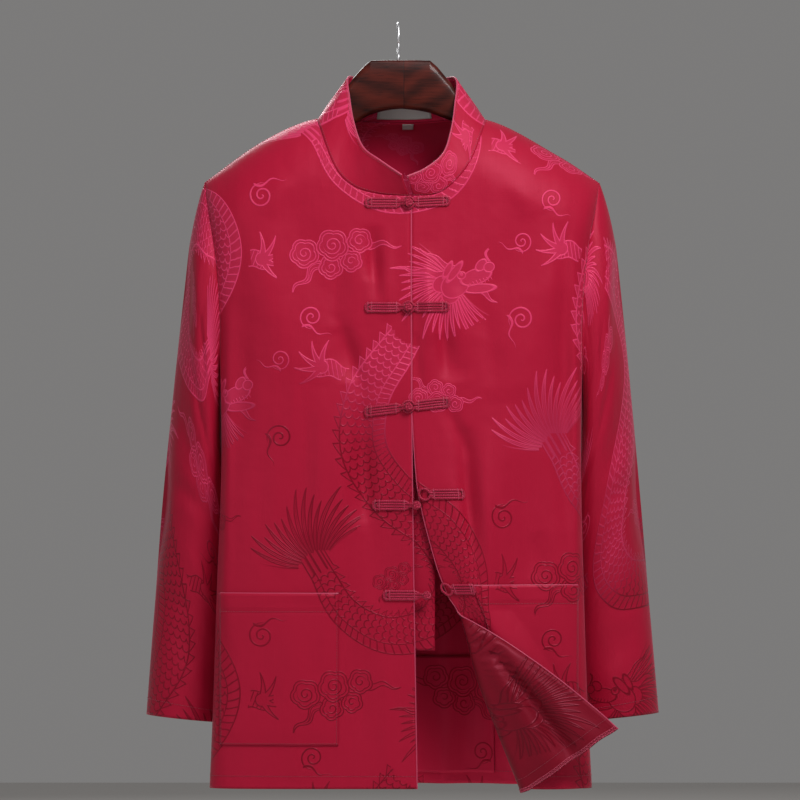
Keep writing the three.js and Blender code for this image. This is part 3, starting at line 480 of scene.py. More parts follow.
    def panel_place(self, side: Values, face: Face, u: Values, v: Values) -> tuple[Values, Values]:
        """A place on a panel. Below the underarm its rows are level."""
        level = lerp(UNDERARM_Z, HEM_Z, np.clip((v - ARMHOLE_V) / (1 - ARMHOLE_V), 0.0, 1.0))
        low = self.level_place(side, face, u, level)
        w = np.clip(v / ARMHOLE_V, 0.0, 1.0)
        ones, arm = np.ones_like(u), np.full_like(u, UNDERARM_Z)
        top = self.front_top if face is Face.FRONT else self.back_top
        above, corner = top(side, u), top(side, ones)
        below, foot = self.level_place(side, face, u, arm), self.level_place(side, face, ones, arm)
        edge = self.armhole_place(side, face, w)
        upper = [lerp(above[i], below[i], w) + u * (edge[i] - lerp(corner[i], foot[i], w)) for i in range(2)]
        under = v >= ARMHOLE_V
        return np.where(under, low[0], upper[0]), np.where(under, low[1], upper[1])

    def front(self, side: Side, u: Values, v: Values) -> Values:
        """A point of a front as cut."""
        sides = np.full(len(u), float(side))
        share, drop = self.panel_place(sides, Face.FRONT, u, v)
        own = np.where(share < 0, -sides, sides)
        return self.point(own, Face.FRONT, np.abs(share), drop, np.zeros_like(u))

    def back(self, u: Values, v: Values) -> Values:
        """A point of the back, u from -1 to 1."""
        sides = np.where(u < 0, -1.0, 1.0)
        share, drop = self.panel_place(sides, Face.BACK, np.abs(u), v)
        return self.point(sides, Face.BACK, np.maximum(share, 0.0), drop, u)

    def pulled(self, p: Values) -> Values:
        """The cloth beside the turned edge, drawn towards the fold."""
        x, y, z = p.T
        fold_x = CLOSURE_X + self.turn_slope * np.maximum(0.0, self.turn_start_z - z)
        part = (x - fold_x) / np.minimum(self.pull_reach, self.pull_end_x - fold_x)
        grown = smooth((self.pull_from_z - z) / self.pull_grows)
        bulge = self.pull_bulge * grown * np.sin(np.pi * np.clip(part, 0.0, 1.0))
        return np.stack([x + PULL.at("shift", z) * (1 - smooth(part)), y - bulge, z], axis=1)

    def turned(self, p: Values) -> Values:
        """The wearer's left front with its lower corner folded back over itself."""
        x, y, z = p.T
        fall = self.turn_start_z - z
        fold_x = CLOSURE_X + self.turn_slope * np.maximum(0.0, fall)
        past = fold_x - x
        share = np.clip(fall / (self.turn_start_z - HEM_Z), 1e-6, 1.0)
        whole = np.maximum(fold_x - CLOSURE_X, 1e-6)
        rounded = self.turn_round * np.sin(np.minimum(1.0, share / self.roll_grows) * np.pi / 2)
        roll = np.pi * rounded
        base = self.pulled(np.stack([fold_x, y, z], axis=1))
        angle = np.clip(past / roll, 0.0, 1.0) * np.pi
        run = np.where(past > roll, (past - roll) / np.maximum(whole - roll, 1e-6), 0.0)
        run = np.clip(run, 0.0, 1.0)
        rise = self.flap_rise * np.sin(np.pi * share) * run + self.flap_wave(share, run)
        out = rounded * (1 - np.cos(angle)) + self.flap_lift * share * run
        out = out + self.flap_belly * np.sin(np.pi * run) * share + self.flap_fold(share, run)
        normal, way = self.turn_normal, self.turn_direction
        flap = np.stack(
            [
                base[:, 0] + normal[0] * rounded * np.sin(angle) + way[0] * share * run,
                base[:, 1] - out,
                base[:, 2] + normal[2] * rounded * np.sin(angle) + way[2] * share * run + rise,
            ],
            axis=1,
        )
        flat = (fall <= 0) | (past <= 0)
        return np.where(flat[:, None], self.pulled(p), flap)

    @staticmethod
    def flap_fold(share: Values, run: Values) -> Values:
        """The second, softer fold that runs down the turned face."""
        ridge = sum(height * np.exp(-(((run - at) / width) ** 2)) for at, width, height in FLAP_RIDGES)
        return ridge * smooth(share * 3) * smooth((1.15 - share) * 4)

    def flap_wave(self, share: Values, run: Values) -> Values:
        """The small unevenness of the turned hem."""
        return self.flap_wave_depth * np.sin(run * 17 + 1.0) * smooth((share - 0.9) * 10) * run

    def front_surface(self, side: Side) -> Surface:
        """A front as worn, with the corner of the viewer's right one turned back."""
        if side is Side.LEFT:
            return lambda u, v: self.front(side, u, v)
        return lambda u, v: self.turned(self.front(side, u, v))

    def front_at(self, side: Side, x: Values, z: Values) -> Values:
        """The point of a front that was at x and z before the corner was turned."""
        half = np.where(side * x < 0, -float(side), float(side))
        share, drop = self.place_at(half, Face.FRONT, self.share(Face.FRONT, half, x, z), z)
        p = self.point(half, Face.FRONT, share, drop, np.zeros_like(x))
        return self.turned(p) if side is Side.RIGHT else p

    def cut_place(self, face: Face, side: Side, share: Values, drop: Values) -> Values:
        """Where a place lies in the flat cloth: across from the middle, and up, in millimetres."""
        sides = np.full(len(share), float(side))
        z = np.clip(CUT_RIDGE_Z - drop, HEM_Z, CUT_TOP_Z)
        across = share * self.half_girth(face, sides, z) * sides
        ridge = self.ridge_z(sides, self.x_at(face, sides, share, z))
        up = ridge - drop + SHOULDER_ROUND * (np.pi / 2 - 1)
        return np.stack([across, up], axis=1)


def row_of(z: float) -> float:
    """The v of a level below the underarm."""
    return ARMHOLE_V + (1 - ARMHOLE_V) * (UNDERARM_Z - z) / (UNDERARM_Z - HEM_Z)


def grid_of(us: Values, vs: Values) -> tuple[Values, Values]:
    """Flattened u and v of a grid with a row for each v."""
    u, v = np.meshgrid(us, vs)
    return u.ravel(), v.ravel()


def panel_rows(step: float) -> Values:
    """The v of a panel's rows, from the shoulder to the hem."""
    upper = even(0, ARMHOLE_V, step, ARMHOLE_LENGTH)
    return np.concatenate([upper[:-1], even(ARMHOLE_V, 1, step, SIDE_LENGTH)])


def even(start: float, end: float, step: float, length: float) -> Values:
    """Even values from start to end for a length cut in steps of about step."""
    return np.linspace(start, end, max(2, round(length / step) + 1))


def unit(vectors: Values) -> Values:
    """The same vectors at length one."""
    return vectors / np.maximum(np.linalg.norm(vectors, axis=-1, keepdims=True), 1e-9)


def runs(points: Values) -> Values:
    """The length of a line up to each of its points."""
    return np.concatenate([[0.0], np.cumsum(np.linalg.norm(np.diff(points, axis=0), axis=1))])


def cells(rows: int, columns: int) -> tuple[Values, Values]:
    """The row and column of each cell of a grid."""
    r, c = np.meshgrid(np.arange(rows), np.arange(columns), indexing="ij")
    return r.ravel(), c.ravel()


def tube_cells(rows: int, sides: int, closed: bool = False) -> tuple[Values, Values, Values]:
    """The row, the side and the four corners of each face of a tube, facing out."""
    r, c = cells(rows if closed else rows - 1, sides)
    after, wrap = (r + 1) % rows, (c + 1) % sides
    return r, c, np.stack([r * sides + wrap, after * sides + wrap, after * sides + c, r * sides + c], axis=1)


def grid_normals(points: Values, closed: bool = False) -> Values:
    """Unit normals of a grid of points, along u cross along v.

    Args:
        points: rows by columns by 3.
        closed: whether the last column meets the first.

    Returns:
        Normals in the same shape.
    """
    if closed:
        along_u = np.roll(points, -1, axis=1) - np.roll(points, 1, axis=1)
    else:
        along_u = np.gradient(points, axis=1)
    return unit(np.cross(along_u, np.gradient(points, axis=0)))


@dataclass(frozen=True)
class ClothGrid:
    """A sheet of cloth as a grid: worn points and their places in the flat cloth, in millimetres."""

    points: Values
    flat: Values
    closed: bool = False
    facing: int = 1

    @classmethod
    def of(cls, us: Values, vs: Values, points: Values, flat: Values, facing: int = 1) -> ClothGrid:
        """A sheet from flattened points, with a row for each v."""
        shape = (len(vs), len(us))
        return cls(points.reshape(*shape, 3), flat.reshape(*shape, 2), facing=facing)

    def moved_out(self, distance: Values | float) -> ClothGrid:
        """The same sheet moved along its outward normals."""
        normals = grid_normals(self.points, self.closed) * self.facing
        amount = np.asarray(distance, float)
        amount = amount[..., None] if amount.ndim else amount
        return ClothGrid(self.points + normals * amount, self.flat, self.closed, self.facing)

    def area(self) -> float:
        """The worn area, in square metres."""
        p = np.concatenate([self.points, self.points[:, :1]], axis=1) if self.closed else self.points
        a, b, c, d = p[:-1, :-1], p[:-1, 1:], p[1:, 1:], p[1:, :-1]
        halves = (np.cross(b - a, c - a), np.cross(c - a, d - a))
        return float(sum(np.linalg.norm(h, axis=2).sum() for h in halves) / 2) * MM * MM

    def build(self, name: str) -> Object:
        """Makes the sheet's mesh, facing out, with its places in the flat cloth and the weave's motifs.

        Args:
            name: the piece's name.

        Returns:
            The new object.
        """
        rows, columns = self.points.shape[:2]
        r, c = cells(rows - 1, columns if self.closed else columns - 1)
        wrap = (c + 1) % columns
        corners = [(r, c, c), (r, wrap, c + 1), (r + 1, wrap, c + 1), (r + 1, c, c)]
        if self.facing < 0:
            corners = corners[::-1]
        faces = np.stack([row * columns + column for row, column, _ in corners], axis=1)
        flat = np.stack([self.flat[row, column] for row, _, column in corners], axis=1)
        piece = mesh_object(name, self.points.reshape(-1, 3) * MM, faces, flat * MM)
        kinds, local = Repeat().fields(flat)
        piece.data.polygons.foreach_set("material_index", kinds.astype(np.int32))
        layer = piece.data.attributes.new("motif", "FLOAT_VECTOR", "CORNER")
        layer.data.foreach_set("vector", local.astype(np.float32).ravel())
        return piece


def mesh_object(name: str, points: Values, faces: Values, flat: Values | None = None) -> Object:
    """Makes a mesh object from quads.

    Args:
        name: the object's name.
        points: corners in metres.
        faces: four indices for each face.
        flat: UV of each face's corners.

    Returns:
        The new object, linked to the scene.
    """
    mesh = bpy.data.meshes.new(name)
    mesh.vertices.add(len(points))
    mesh.vertices.foreach_set("co", np.asarray(points, np.float32).ravel())
    mesh.loops.add(faces.size)
    mesh.loops.foreach_set("vertex_index", faces.astype(np.int32).ravel())
    mesh.polygons.add(len(faces))
    mesh.polygons.foreach_set("loop_start", np.arange(0, faces.size, faces.shape[1], dtype=np.int32))
    if flat is not None:
        layer = mesh.uv_layers.new(name="cloth")
        layer.uv.foreach_set("vector", flat.astype(np.float32).ravel())
    mesh.update(calc_edges=True)
    mesh.validate()
    mesh.shade_smooth()
    piece = bpy.data.objects.new(name, mesh)
    bpy.context.scene.collection.objects.link(piece)
    return piece


FORM = BodyForm()


class Motif(Enum):
    """What the weave shows on a face of the cloth. The value is the material's place among the slots."""

    PLAIN = 0
    BODY = 1
    FAN = 2
    CLOUD = 3
    HEAD = 4
    CLAW = 5
    CURL = 6


def turned_by(points: Values, degrees: float, mirror: bool) -> Values:
    """Points in a motif's own frame, for a motif turned by degrees and perhaps mirrored."""
    angle = math.radians(degrees)
    c, s = math.cos(angle), math.sin(angle)
    x, y = points[..., 0], points[..., 1]
    own = np.stack([x * c + y * s, y * c - x * s], axis=-1)
    return own * np.array([1.0, -1.0]) if mirror else own


@dataclass(frozen=True)
class Placed:
    """One small motif of the repeat: its kind, place, turn and the ellipse it needs."""

    motif: Motif
    x: float
    y: float
    turn: float
    reach: tuple[float, float, float, float]
    mirror: bool = False
    size: float = 1.0


@dataclass(frozen=True)
class Repeat:
    """The woven repeat: a scaled serpentine body with its small motifs, each row set lower by half a drop."""

    across: tuple[float, float] = (240.0, 118.0)
    up: float = 440.0
    # The middle line of the scaled body, from neck to tail
    spine: tuple[tuple[float, float], ...] = (
        (26, 152),
        (-2, 112),
        (-30, 66),
        (-34, 12),
        (-4, -34),
        (38, -66),
        (60, -112),
        (40, -158),
        (-8, -172),
        (-52, -150),
        (-78, -108),
    )
    # Half widths of the body at shares of its length
    widths: tuple[tuple[float, float], ...] = (
        (0.0, 12),
        (0.12, 19),
        (0.4, 24),
        (0.7, 21),
        (0.9, 15),
        (1.0, 11),
    )
    placed: tuple[Placed, ...] = (
        Placed(Motif.HEAD, 52, 178, 30, (-72, 50, -46, 52)),
        Placed(Motif.FAN, -84, -94, 130, (-12, 80, -72, 72)),
        Placed(Motif.CLAW, -76, 96, 165, (-46, 28, -29, 29)),
        Placed(Motif.CLAW, 104, -118, 4, (-38, 28, -29, 29), True),
        Placed(Motif.CLOUD, -62, 210, 14, (-62, 64, -31, 35), True),
        Placed(Motif.CLOUD, 40, 66, -10, (-62, 64, -31, 35), False, 0.66),
        Placed(Motif.CLOUD, -4, -114, 30, (-62, 64, -31, 35), True, 0.5),
        Placed(Motif.CURL, -118, 26, 40, (-34, 20, -26, 22)),
        Placed(Motif.CURL, 104, -54, 250, (-34, 20, -26, 22), True),
        Placed(Motif.CURL, -86, 146, 100, (-34, 20, -26, 22), False, 0.9),
        Placed(Motif.CURL, 122, 222, 40, (-34, 20, -26, 22), True, 0.8),
    )
    samples: int = 220
    # How far past its half width the body claims faces, and how far from its line they are looked for
    margin: float = 10.0
    search: float = 36.0
    # How far past its ellipse a small motif claims faces
    slack: float = 1.25
    scale: float = 1.1

    def line(self) -> tuple[Values, Values]:
        """The body's middle line as points and lengths, eased through its named points."""
        knots = np.array(self.spine, float)
        steps = runs(knots)
        table = Table(("s", "x", "y"), tuple((s, x, y) for s, (x, y) in zip(steps, knots)))
        s = np.linspace(0.0, steps[-1], self.samples)
        points = np.stack([table.at("x", s), table.at("y", s)], axis=1)
        return points, runs(points)

    def shifts(self, centres: Values) -> Iterable[Values]:
        """The repeats near each point, as offsets from the first one."""
        i = np.round(centres[:, 0] / self.across[0])
        for di in (-1, 0, 1):
            x, y = self.across[0] * (i + di), self.across[1] * (i + di)
            j = np.round((centres[:, 1] - y) / self.up)
            for dj in (-1, 0, 1):
                yield np.stack([x, y + self.up * (j + dj)], axis=1)

    def fields(self, corners: Values) -> tuple[Values, Values]:
        """Finds what the weave shows on each face.

        Args:
            corners: places of each face's corners in the flat cloth, faces by corners by 2.

        Returns:
            The motif of each face, and for each corner its place in the motif's own frame: along and
            across the body with the body's half width, or x and y in a small motif.
        """
        corners = corners / self.scale
        count, sides = corners.shape[:2]
        centres = corners.mean(axis=1)
        kinds = np.full(count, Motif.PLAIN.value)
        local = np.zeros((count, sides, 3))
        line, run = self.line()
        width_table = Table(("share", "width"), self.widths)
        steps = np.diff(line, axis=0)
        lengths = np.linalg.norm(steps, axis=1)
        for shift in self.shifts(centres):
            near = centres - shift
            low, high = line.min(axis=0) - self.search, line.max(axis=0) + self.search
            index = np.nonzero(((near > low) & (near < high)).all(axis=1))[0]
            if not len(index):
                continue
            apart = np.linalg.norm(near[index, None] - line[None], axis=2)
            nearest = np.clip(apart.argmin(axis=1), 1, len(line) - 2)
            width = width_table.at("width", run[nearest] / run[-1])
            inside = apart.min(axis=1) < width + self.margin
            index, nearest, width = index[inside], nearest[inside], width[inside]
            for corner in range(sides):
                p = corners[index, corner] - shift[index]
                best = np.full(len(index), np.inf)
                s, t = np.zeros(len(index)), np.zeros(len(index))
                for segment in (nearest - 1, nearest):
                    way = steps[segment] / lengths[segment, None]
                    off = p - line[segment]
                    on = (off * way).sum(axis=1)
                    clipped = np.clip(on, 0, lengths[segment])
                    side = way[:, 0] * off[:, 1] - way[:, 1] * off[:, 0]
                    gap = np.hypot(on - clipped, side)
                    better = gap < best
                    best = np.where(better, gap, best)
                    s, t = np.where(better, run[segment] + clipped, s), np.where(better, side, t)
                local[index, corner] = np.stack([s, t, width], axis=1)
            kinds[index] = Motif.BODY.value
        for item in reversed(self.placed):
            for shift in self.shifts(centres):
                origin = shift + np.array([item.x, item.y])
                near = turned_by(centres - origin, item.turn, item.mirror) / item.size
                x0, x1, y0, y1 = item.reach
                middle = np.array([(x0 + x1) / 2, (y0 + y1) / 2])
                half = np.array([(x1 - x0) / 2, (y1 - y0) / 2])
                own = (((near - middle) / half) ** 2).sum(axis=1) < self.slack
                if item.motif is not Motif.HEAD:
                    own &= (kinds == Motif.PLAIN.value) | (kinds == Motif.CURL.value)
                own &= (np.abs(near - middle) < half).all(axis=1)
                if own.any():
                    kinds[own] = item.motif.value
                    place = turned_by(corners[own] - origin[own, None], item.turn, item.mirror)
                    local[own, :, :2] = place / item.size
        return kinds, local


class Num:
    """A number inside a node tree, so that shader maths reads as ordinary maths."""

    def __init__(self, tree: Tree, socket: NodeSocket) -> None:
        """Wraps a socket of a tree."""
        self.tree, self.socket = tree, socket

    def maths(self, operation: str, *others: Num | float) -> Num:
        """A Math node on this number and others."""
        node = self.tree.node("ShaderNodeMath", {"operation": operation}, self, *others)
        return Num(self.tree, node.outputs[0])

    def __add__(self, other: Num | float) -> Num:
        """self + other."""
        return self.maths("ADD", other)

    __radd__ = __add__

    def __sub__(self, other: Num | float) -> Num:
        """self - other."""
        return self.maths("SUBTRACT", other)

    def __rsub__(self, other: float) -> Num:
        """other - self."""
        return self.maths("MULTIPLY_ADD", -1.0, other)

    def __mul__(self, other: Num | float) -> Num:
        """self * other."""
        return self.maths("MULTIPLY", other)

    __rmul__ = __mul__

    def __truediv__(self, other: Num | float) -> Num:
        """self / other."""
        return self.maths("DIVIDE", other)

    def __rtruediv__(self, other: float) -> Num:
        """other / self."""
        return self.maths("POWER", -1.0) * other

    def __neg__(self) -> Num:
        """-self."""
        return self * -1.0

    def __abs__(self) -> Num:
        """abs(self)."""
        return self.maths("ABSOLUTE")

    def over(self, other: Num | float) -> Num:
        """The larger of the two."""
        return self.maths("MAXIMUM", other)

    def under(self, other: Num | float) -> Num:
        """The smaller of the two."""
        return self.maths("MINIMUM", other)

    def fraction(self) -> Num:
        """The part past the whole number."""
        return self.maths("FRACT")

    def floor(self) -> Num:
        """The whole number below."""
        return self.maths("FLOOR")

    def sine(self) -> Num:
        """The sine."""
        return self.maths("SINE")

    def ramp(self, low: float, high: float, start: float = 0.0, end: float = 1.0) -> Num:
        """An eased step from start to end as this goes from low to high."""
        node = self.tree.node(
            "ShaderNodeMapRange", {"interpolation_type": "SMOOTHSTEP"}, self, low, high, start, end
        )
        return Num(self.tree, node.outputs[0])

    def inside(self, soft: float = 0.45) -> Num:
        """1 where this distance is below 0."""
        return self.ramp(-soft, soft, 1.0, 0.0)

    def line(self, half: float = 0.55, soft: float = 0.4) -> Num:
        """A line of half width where this distance is 0."""
        return abs(self).ramp(half - soft, half + soft, 1.0, 0.0)


class Tree:
    """A node tree with short ways to add nodes."""

    def __init__(self, tree: NodeTree) -> None:
        """Wraps a tree."""
        self.tree = tree

    def node(self, kind: str, settings: dict[str, object] | None, *values: object) -> Node:
        """Adds a node.

        Args:
            kind: its type.
            settings: its own properties, set first.
            values: a value or link for each of its first sockets, None to leave one alone.

        Returns:
            The node.
        """
        node = self.tree.nodes.new(kind)
        for name, value in (settings or {}).items():
            setattr(node, name, value)
        for socket, value in zip(node.inputs, values):
            self.put(socket, value)
        return node

    def put(self, socket: NodeSocket, value: object) -> None:
        """Links a socket or sets its value."""
        if isinstance(value, Num):
            self.tree.links.new(value.socket, socket)
        elif isinstance(value, NodeSocket):
            self.tree.links.new(value, socket)
        elif value is not None:
            socket.default_value = value

    def fill(self, node: Node, sockets: dict[str, object]) -> Node:
        """Links or sets a node's sockets by name, and returns the node."""
        for name, value in sockets.items():
            self.put(node.inputs[name], value)
        return node

    def split(self, vector: NodeSocket) -> tuple[Num, Num, Num]:
        """The three parts of a vector."""
        node = self.node("ShaderNodeSeparateXYZ", None, vector)
        return Num(self, node.outputs[0]), Num(self, node.outputs[1]), Num(self, node.outputs[2])

    def length(self, x: Num, y: Num) -> Num:
        """The length of (x, y)."""
        return (x * x + y * y).maths("SQRT")

    def angle(self, y: Num, x: Num) -> Num:
        """The angle of (x, y)."""
        return y.maths("ARCTAN2", x)

    def mix(self, factor: Num | float, a: Num | float, b: Num | float) -> Num:
        """a where factor is 0 and b where it is 1."""
        node = self.node("ShaderNodeMix", {"data_type": "FLOAT"}, factor, None, a, b)
        return Num(self, node.outputs[0])

    def colour(self, factor: Num, a: object, b: object) -> NodeSocket:
        """A colour between a and b."""
        node = self.node("ShaderNodeMix", {"data_type": "RGBA"}, factor)
        self.put(node.inputs[6], a if isinstance(a, NodeSocket) else (*a, 1.0))
        self.put(node.inputs[7], b if isinstance(b, NodeSocket) else (*b, 1.0))
        return node.outputs[2]

    def noise(self, vector: object, scale: float, detail: float = 2.0) -> Num:
        """Smooth noise from 0 to 1."""
        node = self.node("ShaderNodeTexNoise", None)
        self.fill(node, {"Vector": vector, "Scale": scale, "Detail": detail})
        return Num(self, node.outputs[0])

    def bump(self, height: Num, distance: float, strength: float = 1.0, under: object = None) -> object:
        """The normal of a relief, over the normal under it."""
        node = self.node("ShaderNodeBump", None)
        values = {"Height": height, "Distance": distance, "Strength": strength, "Normal": under}
        return self.fill(node, values).outputs[0]

    def flat(self) -> NodeSocket:
        """The place in the flat cloth."""
        return self.node("ShaderNodeUVMap", {"uv_map": "cloth"}).outputs[0]

    def stretched(self, vector: NodeSocket, scale: tuple[float, float, float]) -> NodeSocket:
        """A vector stretched by a scale for each axis."""
        return self.node("ShaderNodeVectorMath", {"operation": "MULTIPLY"}, vector, scale).outputs[0]


def new_material(name: str) -> tuple[Material, Tree, Node]:
    """A new material, its tree and its shader."""
    material = bpy.data.materials.new(name)
    material.use_nodes = True
    return material, Tree(material.node_tree), material.node_tree.nodes["Principled BSDF"]


@dataclass(frozen=True)
class Weave:
    """Draws one motif of the weave. Each method returns its lines and its fill, from 0 to 1."""

    tree: Tree
    x: Num
    y: Num
    z: Num

    def draw(self, motif: Motif) -> tuple[Num | None, Num | None]:
        """The lines and fill of a motif."""
        ways = {
            Motif.BODY: self.body,
            Motif.FAN: self.fan,
            Motif.CLOUD: self.cloud,
            Motif.HEAD: self.head,
            Motif.CLAW: self.claw,
            Motif.CURL: self.curl,
        }
        return ways[motif]() if motif in ways else (None, None)

    def body(self) -> tuple[Num, Num]:
        """The scaled body: scales, belly plates, outline and a jagged back fin."""
        s, t, width = self.x, self.y, self.z
        row = (s / 7.2).floor()
        aside = ((t / 7.6) + row * 0.5).fraction() - 0.5
        ahead = (s / 7.2).fraction()
        scales = (self.tree.length(aside * 7.6, ahead * 6.6) - 3.7).line(0.5)
        belly_edge = t - width * 0.46
        on_belly = (-belly_edge).inside()
        plates = ((s * 0.16 + t * 0.05).fraction() - 0.5).line(0.09, 0.07)
        inner = self.tree.mix(on_belly, scales, plates)
        inside = (abs(t) - width).inside()
        saw = (s / 10.5).fraction()
        fin_edge = -t - width - (1.0 - saw) * 7.0
        fin = fin_edge.inside() * (1.0 - inside)
        lines = (inner * inside).over((abs(t) - width).line(0.65)).over(belly_edge.line(0.5))
        back = (-t).ramp(0.0, 1.0)
        lines = lines.over(fin_edge.line(0.5) * back).over((saw - 0.04).line(0.05, 0.04) * fin * back)
        return lines, inside * 0.5 + fin * back * 0.6

    @staticmethod
    def strands(across: Num) -> tuple[Num, Num]:
        """The place across each strand, and a number from 0 to 1 that is its own."""
        own = ((across.floor() * 12.9898).sine() * 43758.5453).fraction()
        return across.fraction() - 0.5, own

    @staticmethod
    def pointed(offset: Num, radius: Num, reach: Num, half: float, apart: float) -> Num:
        """Signed distance to strands that narrow to a point at their reach."""
        part = (radius / reach).under(1.0)
        return (abs(offset) - (1.0 - part * part) * half) * radius * apart

    def fan(self) -> tuple[Num, Num]:
        """A fan of long pointed strands."""
        radius = self.tree.length(self.x + 10.0, self.y)
        angle = self.tree.angle(self.y, self.x + 10.0) + radius * 0.006
        offset, chance = self.strands((angle + 1.5) * 7.2)
        reach = 62.0 + chance * 22.0 - abs(angle) * 5.0
        edge = self.pointed(offset, radius, reach, 0.46, 0.139)
        keep = (abs(angle) - 1.18).inside(0.04) * (radius - reach).inside(1.0)
        keep = keep * (radius - 10.0).ramp(0.0, 2.0)
        inside = edge.inside() * keep
        lines = edge.line(0.55) * keep
        middle = (offset * radius * 0.139).line(0.3, 0.3) * keep * 0.7
        root = (radius - 12.0).line(0.6)
        return lines.over(middle).over(root), inside.over((radius - 12.0).inside()) * 0.6

    def lobe(
        self, x: float, y: float, radius: float, lines: Num, fill: Num, turn: float
    ) -> tuple[Num, Num]:
        """Lays one curled lobe of a cloud over what is there."""
        tree = self.tree
        dx, dy = self.x - x, self.y - y
        away = tree.length(dx, dy)
        angle = tree.angle(dy, dx)
        edge = away - radius * (0.95 + abs((angle * 2.5).sine()) * 0.15)
        inside = edge.inside()
        spiral = (away / 4.6 - angle / (2 * math.pi) + turn).fraction() - 0.5
        curl = spiral.line(0.13, 0.08) * (away - (radius - 5.5)).inside() * (away - 1.0).ramp(0.0, 0.6)
        own = edge.line(0.6).over((edge + 3.0).line(0.45)).over(curl)
        return tree.mix(inside.over(edge.line(0.6)), lines, own), fill.over(inside * 0.32)

    def turned(self, x: float, y: float, degrees: float) -> tuple[Num, Num]:
        """The place along and across an axis that starts at x and y."""
        c, s = math.cos(math.radians(degrees)), math.sin(math.radians(degrees))
        dx, dy = self.x - x, self.y - y
        return dx * c + dy * s, dy * c - dx * s

    def ribbon(
        self, start: tuple[float, float], degrees: float, length: float, half: float, sway: float
    ) -> Num:
        """Signed distance to a tapering, swaying ribbon."""
        along, across = self.turned(*start, degrees)
        aside = across - (along * (2 * math.pi / 24.0)).sine() * sway
        part = (along / length).over(0.0).under(1.0)
        return (abs(aside) - (1.0 - part) * half).over(-along - half).over(along - length)

    def cloud(self) -> tuple[Num, Num]:
        """A traditional curled cloud of five lobes with two trailing wisps."""
        left = self.ribbon((-20.0, 8.0), 148.0, 40.0, 4.4, 2.6)
        right = self.ribbon((30.0, -2.0), 18.0, 36.0, 4.0, 2.2)
        lines = left.line(0.55).over(right.line(0.55)).over((left + 2.2).line(0.35, 0.3))
        fill = left.inside().over(right.inside()) * 0.3
        for x, y, radius, turn in (
            (-30.0, -7.0, 13.5, 0.2),
            (26.0, -6.0, 11.5, 1.1),
            (-8.0, 13.0, 11.0, 0.7),
            (13.0, 12.0, 10.0, 0.4),
            (-1.0, -8.0, 14.5, 0.9),
        ):
            lines, fill = self.lobe(x, y, radius, lines, fill, turn)
        return lines, fill

    def oval(self, x: float, y: float, rx: float, ry: float, degrees: float = 0.0) -> Num:
        """Signed distance to an oval."""
        along, across = self.turned(x, y, degrees)
        return (self.tree.length(along / rx, across / ry) - 1.0) * min(rx, ry)

    def head(self) -> tuple[Num, Num]:
        """A long-snouted head with horns, a brow, a beard and a swept mane."""
        tree = self.tree
        radius = tree.length(self.x - 4.0, self.y)
        angle = tree.angle(self.y, 4.0 - self.x) + radius * 0.005
        offset, chance = self.strands(angle * 7.0)
        reach = 46.0 + chance * 20.0
        edge = self.pointed(offset, radius, reach, 0.47, 0.143)
        keep = (abs(angle) - 1.6).inside(0.06) * (radius - reach).inside(1.0)
        lines, fill = edge.line(0.5) * keep, edge.inside() * keep * 0.6
        shapes = (
            self.ribbon((-2.0, 13.0), 142.0, 50.0, 3.6, 1.4),
            self.ribbon((8.0, 15.0), 118.0, 36.0, 3.0, 1.2),
            self.ribbon((20.0, -16.0), -64.0, 24.0, 4.2, 1.6),
            self.oval(22.0, -17.0, 16.0, 4.4, -24.0),
            self.oval(-6.0, -9.0, 9.0, 8.0),
            self.oval(-8.0, 5.0, 9.5, 8.0),
            self.oval(3.0, -2.0, 15.0, 12.0, 12.0),
            self.oval(25.0, -5.0, 16.0, 7.6, -10.0),
            self.oval(35.0, 2.5, 7.0, 4.4, 20.0),
            self.oval(41.0, -3.0, 5.4, 4.8),
            self.oval(9.0, 9.5, 12.0, 3.6, 24.0),
            self.oval(4.0, 14.5, 9.0, 3.0, 34.0),
            self.oval(13.0, 3.0, 4.2, 3.6),
        )
        for shape in shapes:
            inside = shape.inside()
            lines = tree.mix(inside.over(shape.line()), lines, shape.line(0.6))
            fill = fill.over(inside * 0.75)
        pupil = self.oval(13.6, 4.2, 1.8, 1.8).inside()
        mouth = self.oval(27.0, -11.5, 13.0, 2.6, -12.0).inside()
        teeth = ((self.x * 0.28).fraction() - 0.5).line(0.12, 0.1) * mouth
        whisker = self.ribbon((44.0, 4.0), 52.0, 40.0, 1.6, 3.4).inside()
        return lines.over(pupil).over(teeth).over(whisker), fill

    def claw(self) -> tuple[Num, Num]:
        """A limb that ends in five spread digits."""
        tree = self.tree
        radius = tree.length(self.x, self.y)
        angle = tree.angle(self.y, self.x) + radius * 0.012
        step = 0.62
        which = ((angle + 1.24) / step + 0.5).floor().over(0.0).under(4.0)
        aside = (angle - which * step + 1.24).sine() * radius
        part = (radius / 27.0).under(1.0)
        digit = (abs(aside) - (1.0 - part) * 3.6).over(radius - 27.0).over(-self.x - 6.0)
        palm = radius - 6.5
        limb = self.ribbon((-4.0, 0.0), 180.0, 60.0, 9.0, 1.6)
        shape = digit.under(palm)
        tufts = ((self.x * 0.22 + self.y * 0.1).fraction() - 0.5).line(0.1, 0.08) * limb.inside()
        lines = tree.mix(shape.inside(), limb.line(0.6).over(tufts), shape.line(0.55))
        return lines.over(shape.line(0.55)), shape.inside().over(limb.inside() * 0.6) * 0.7

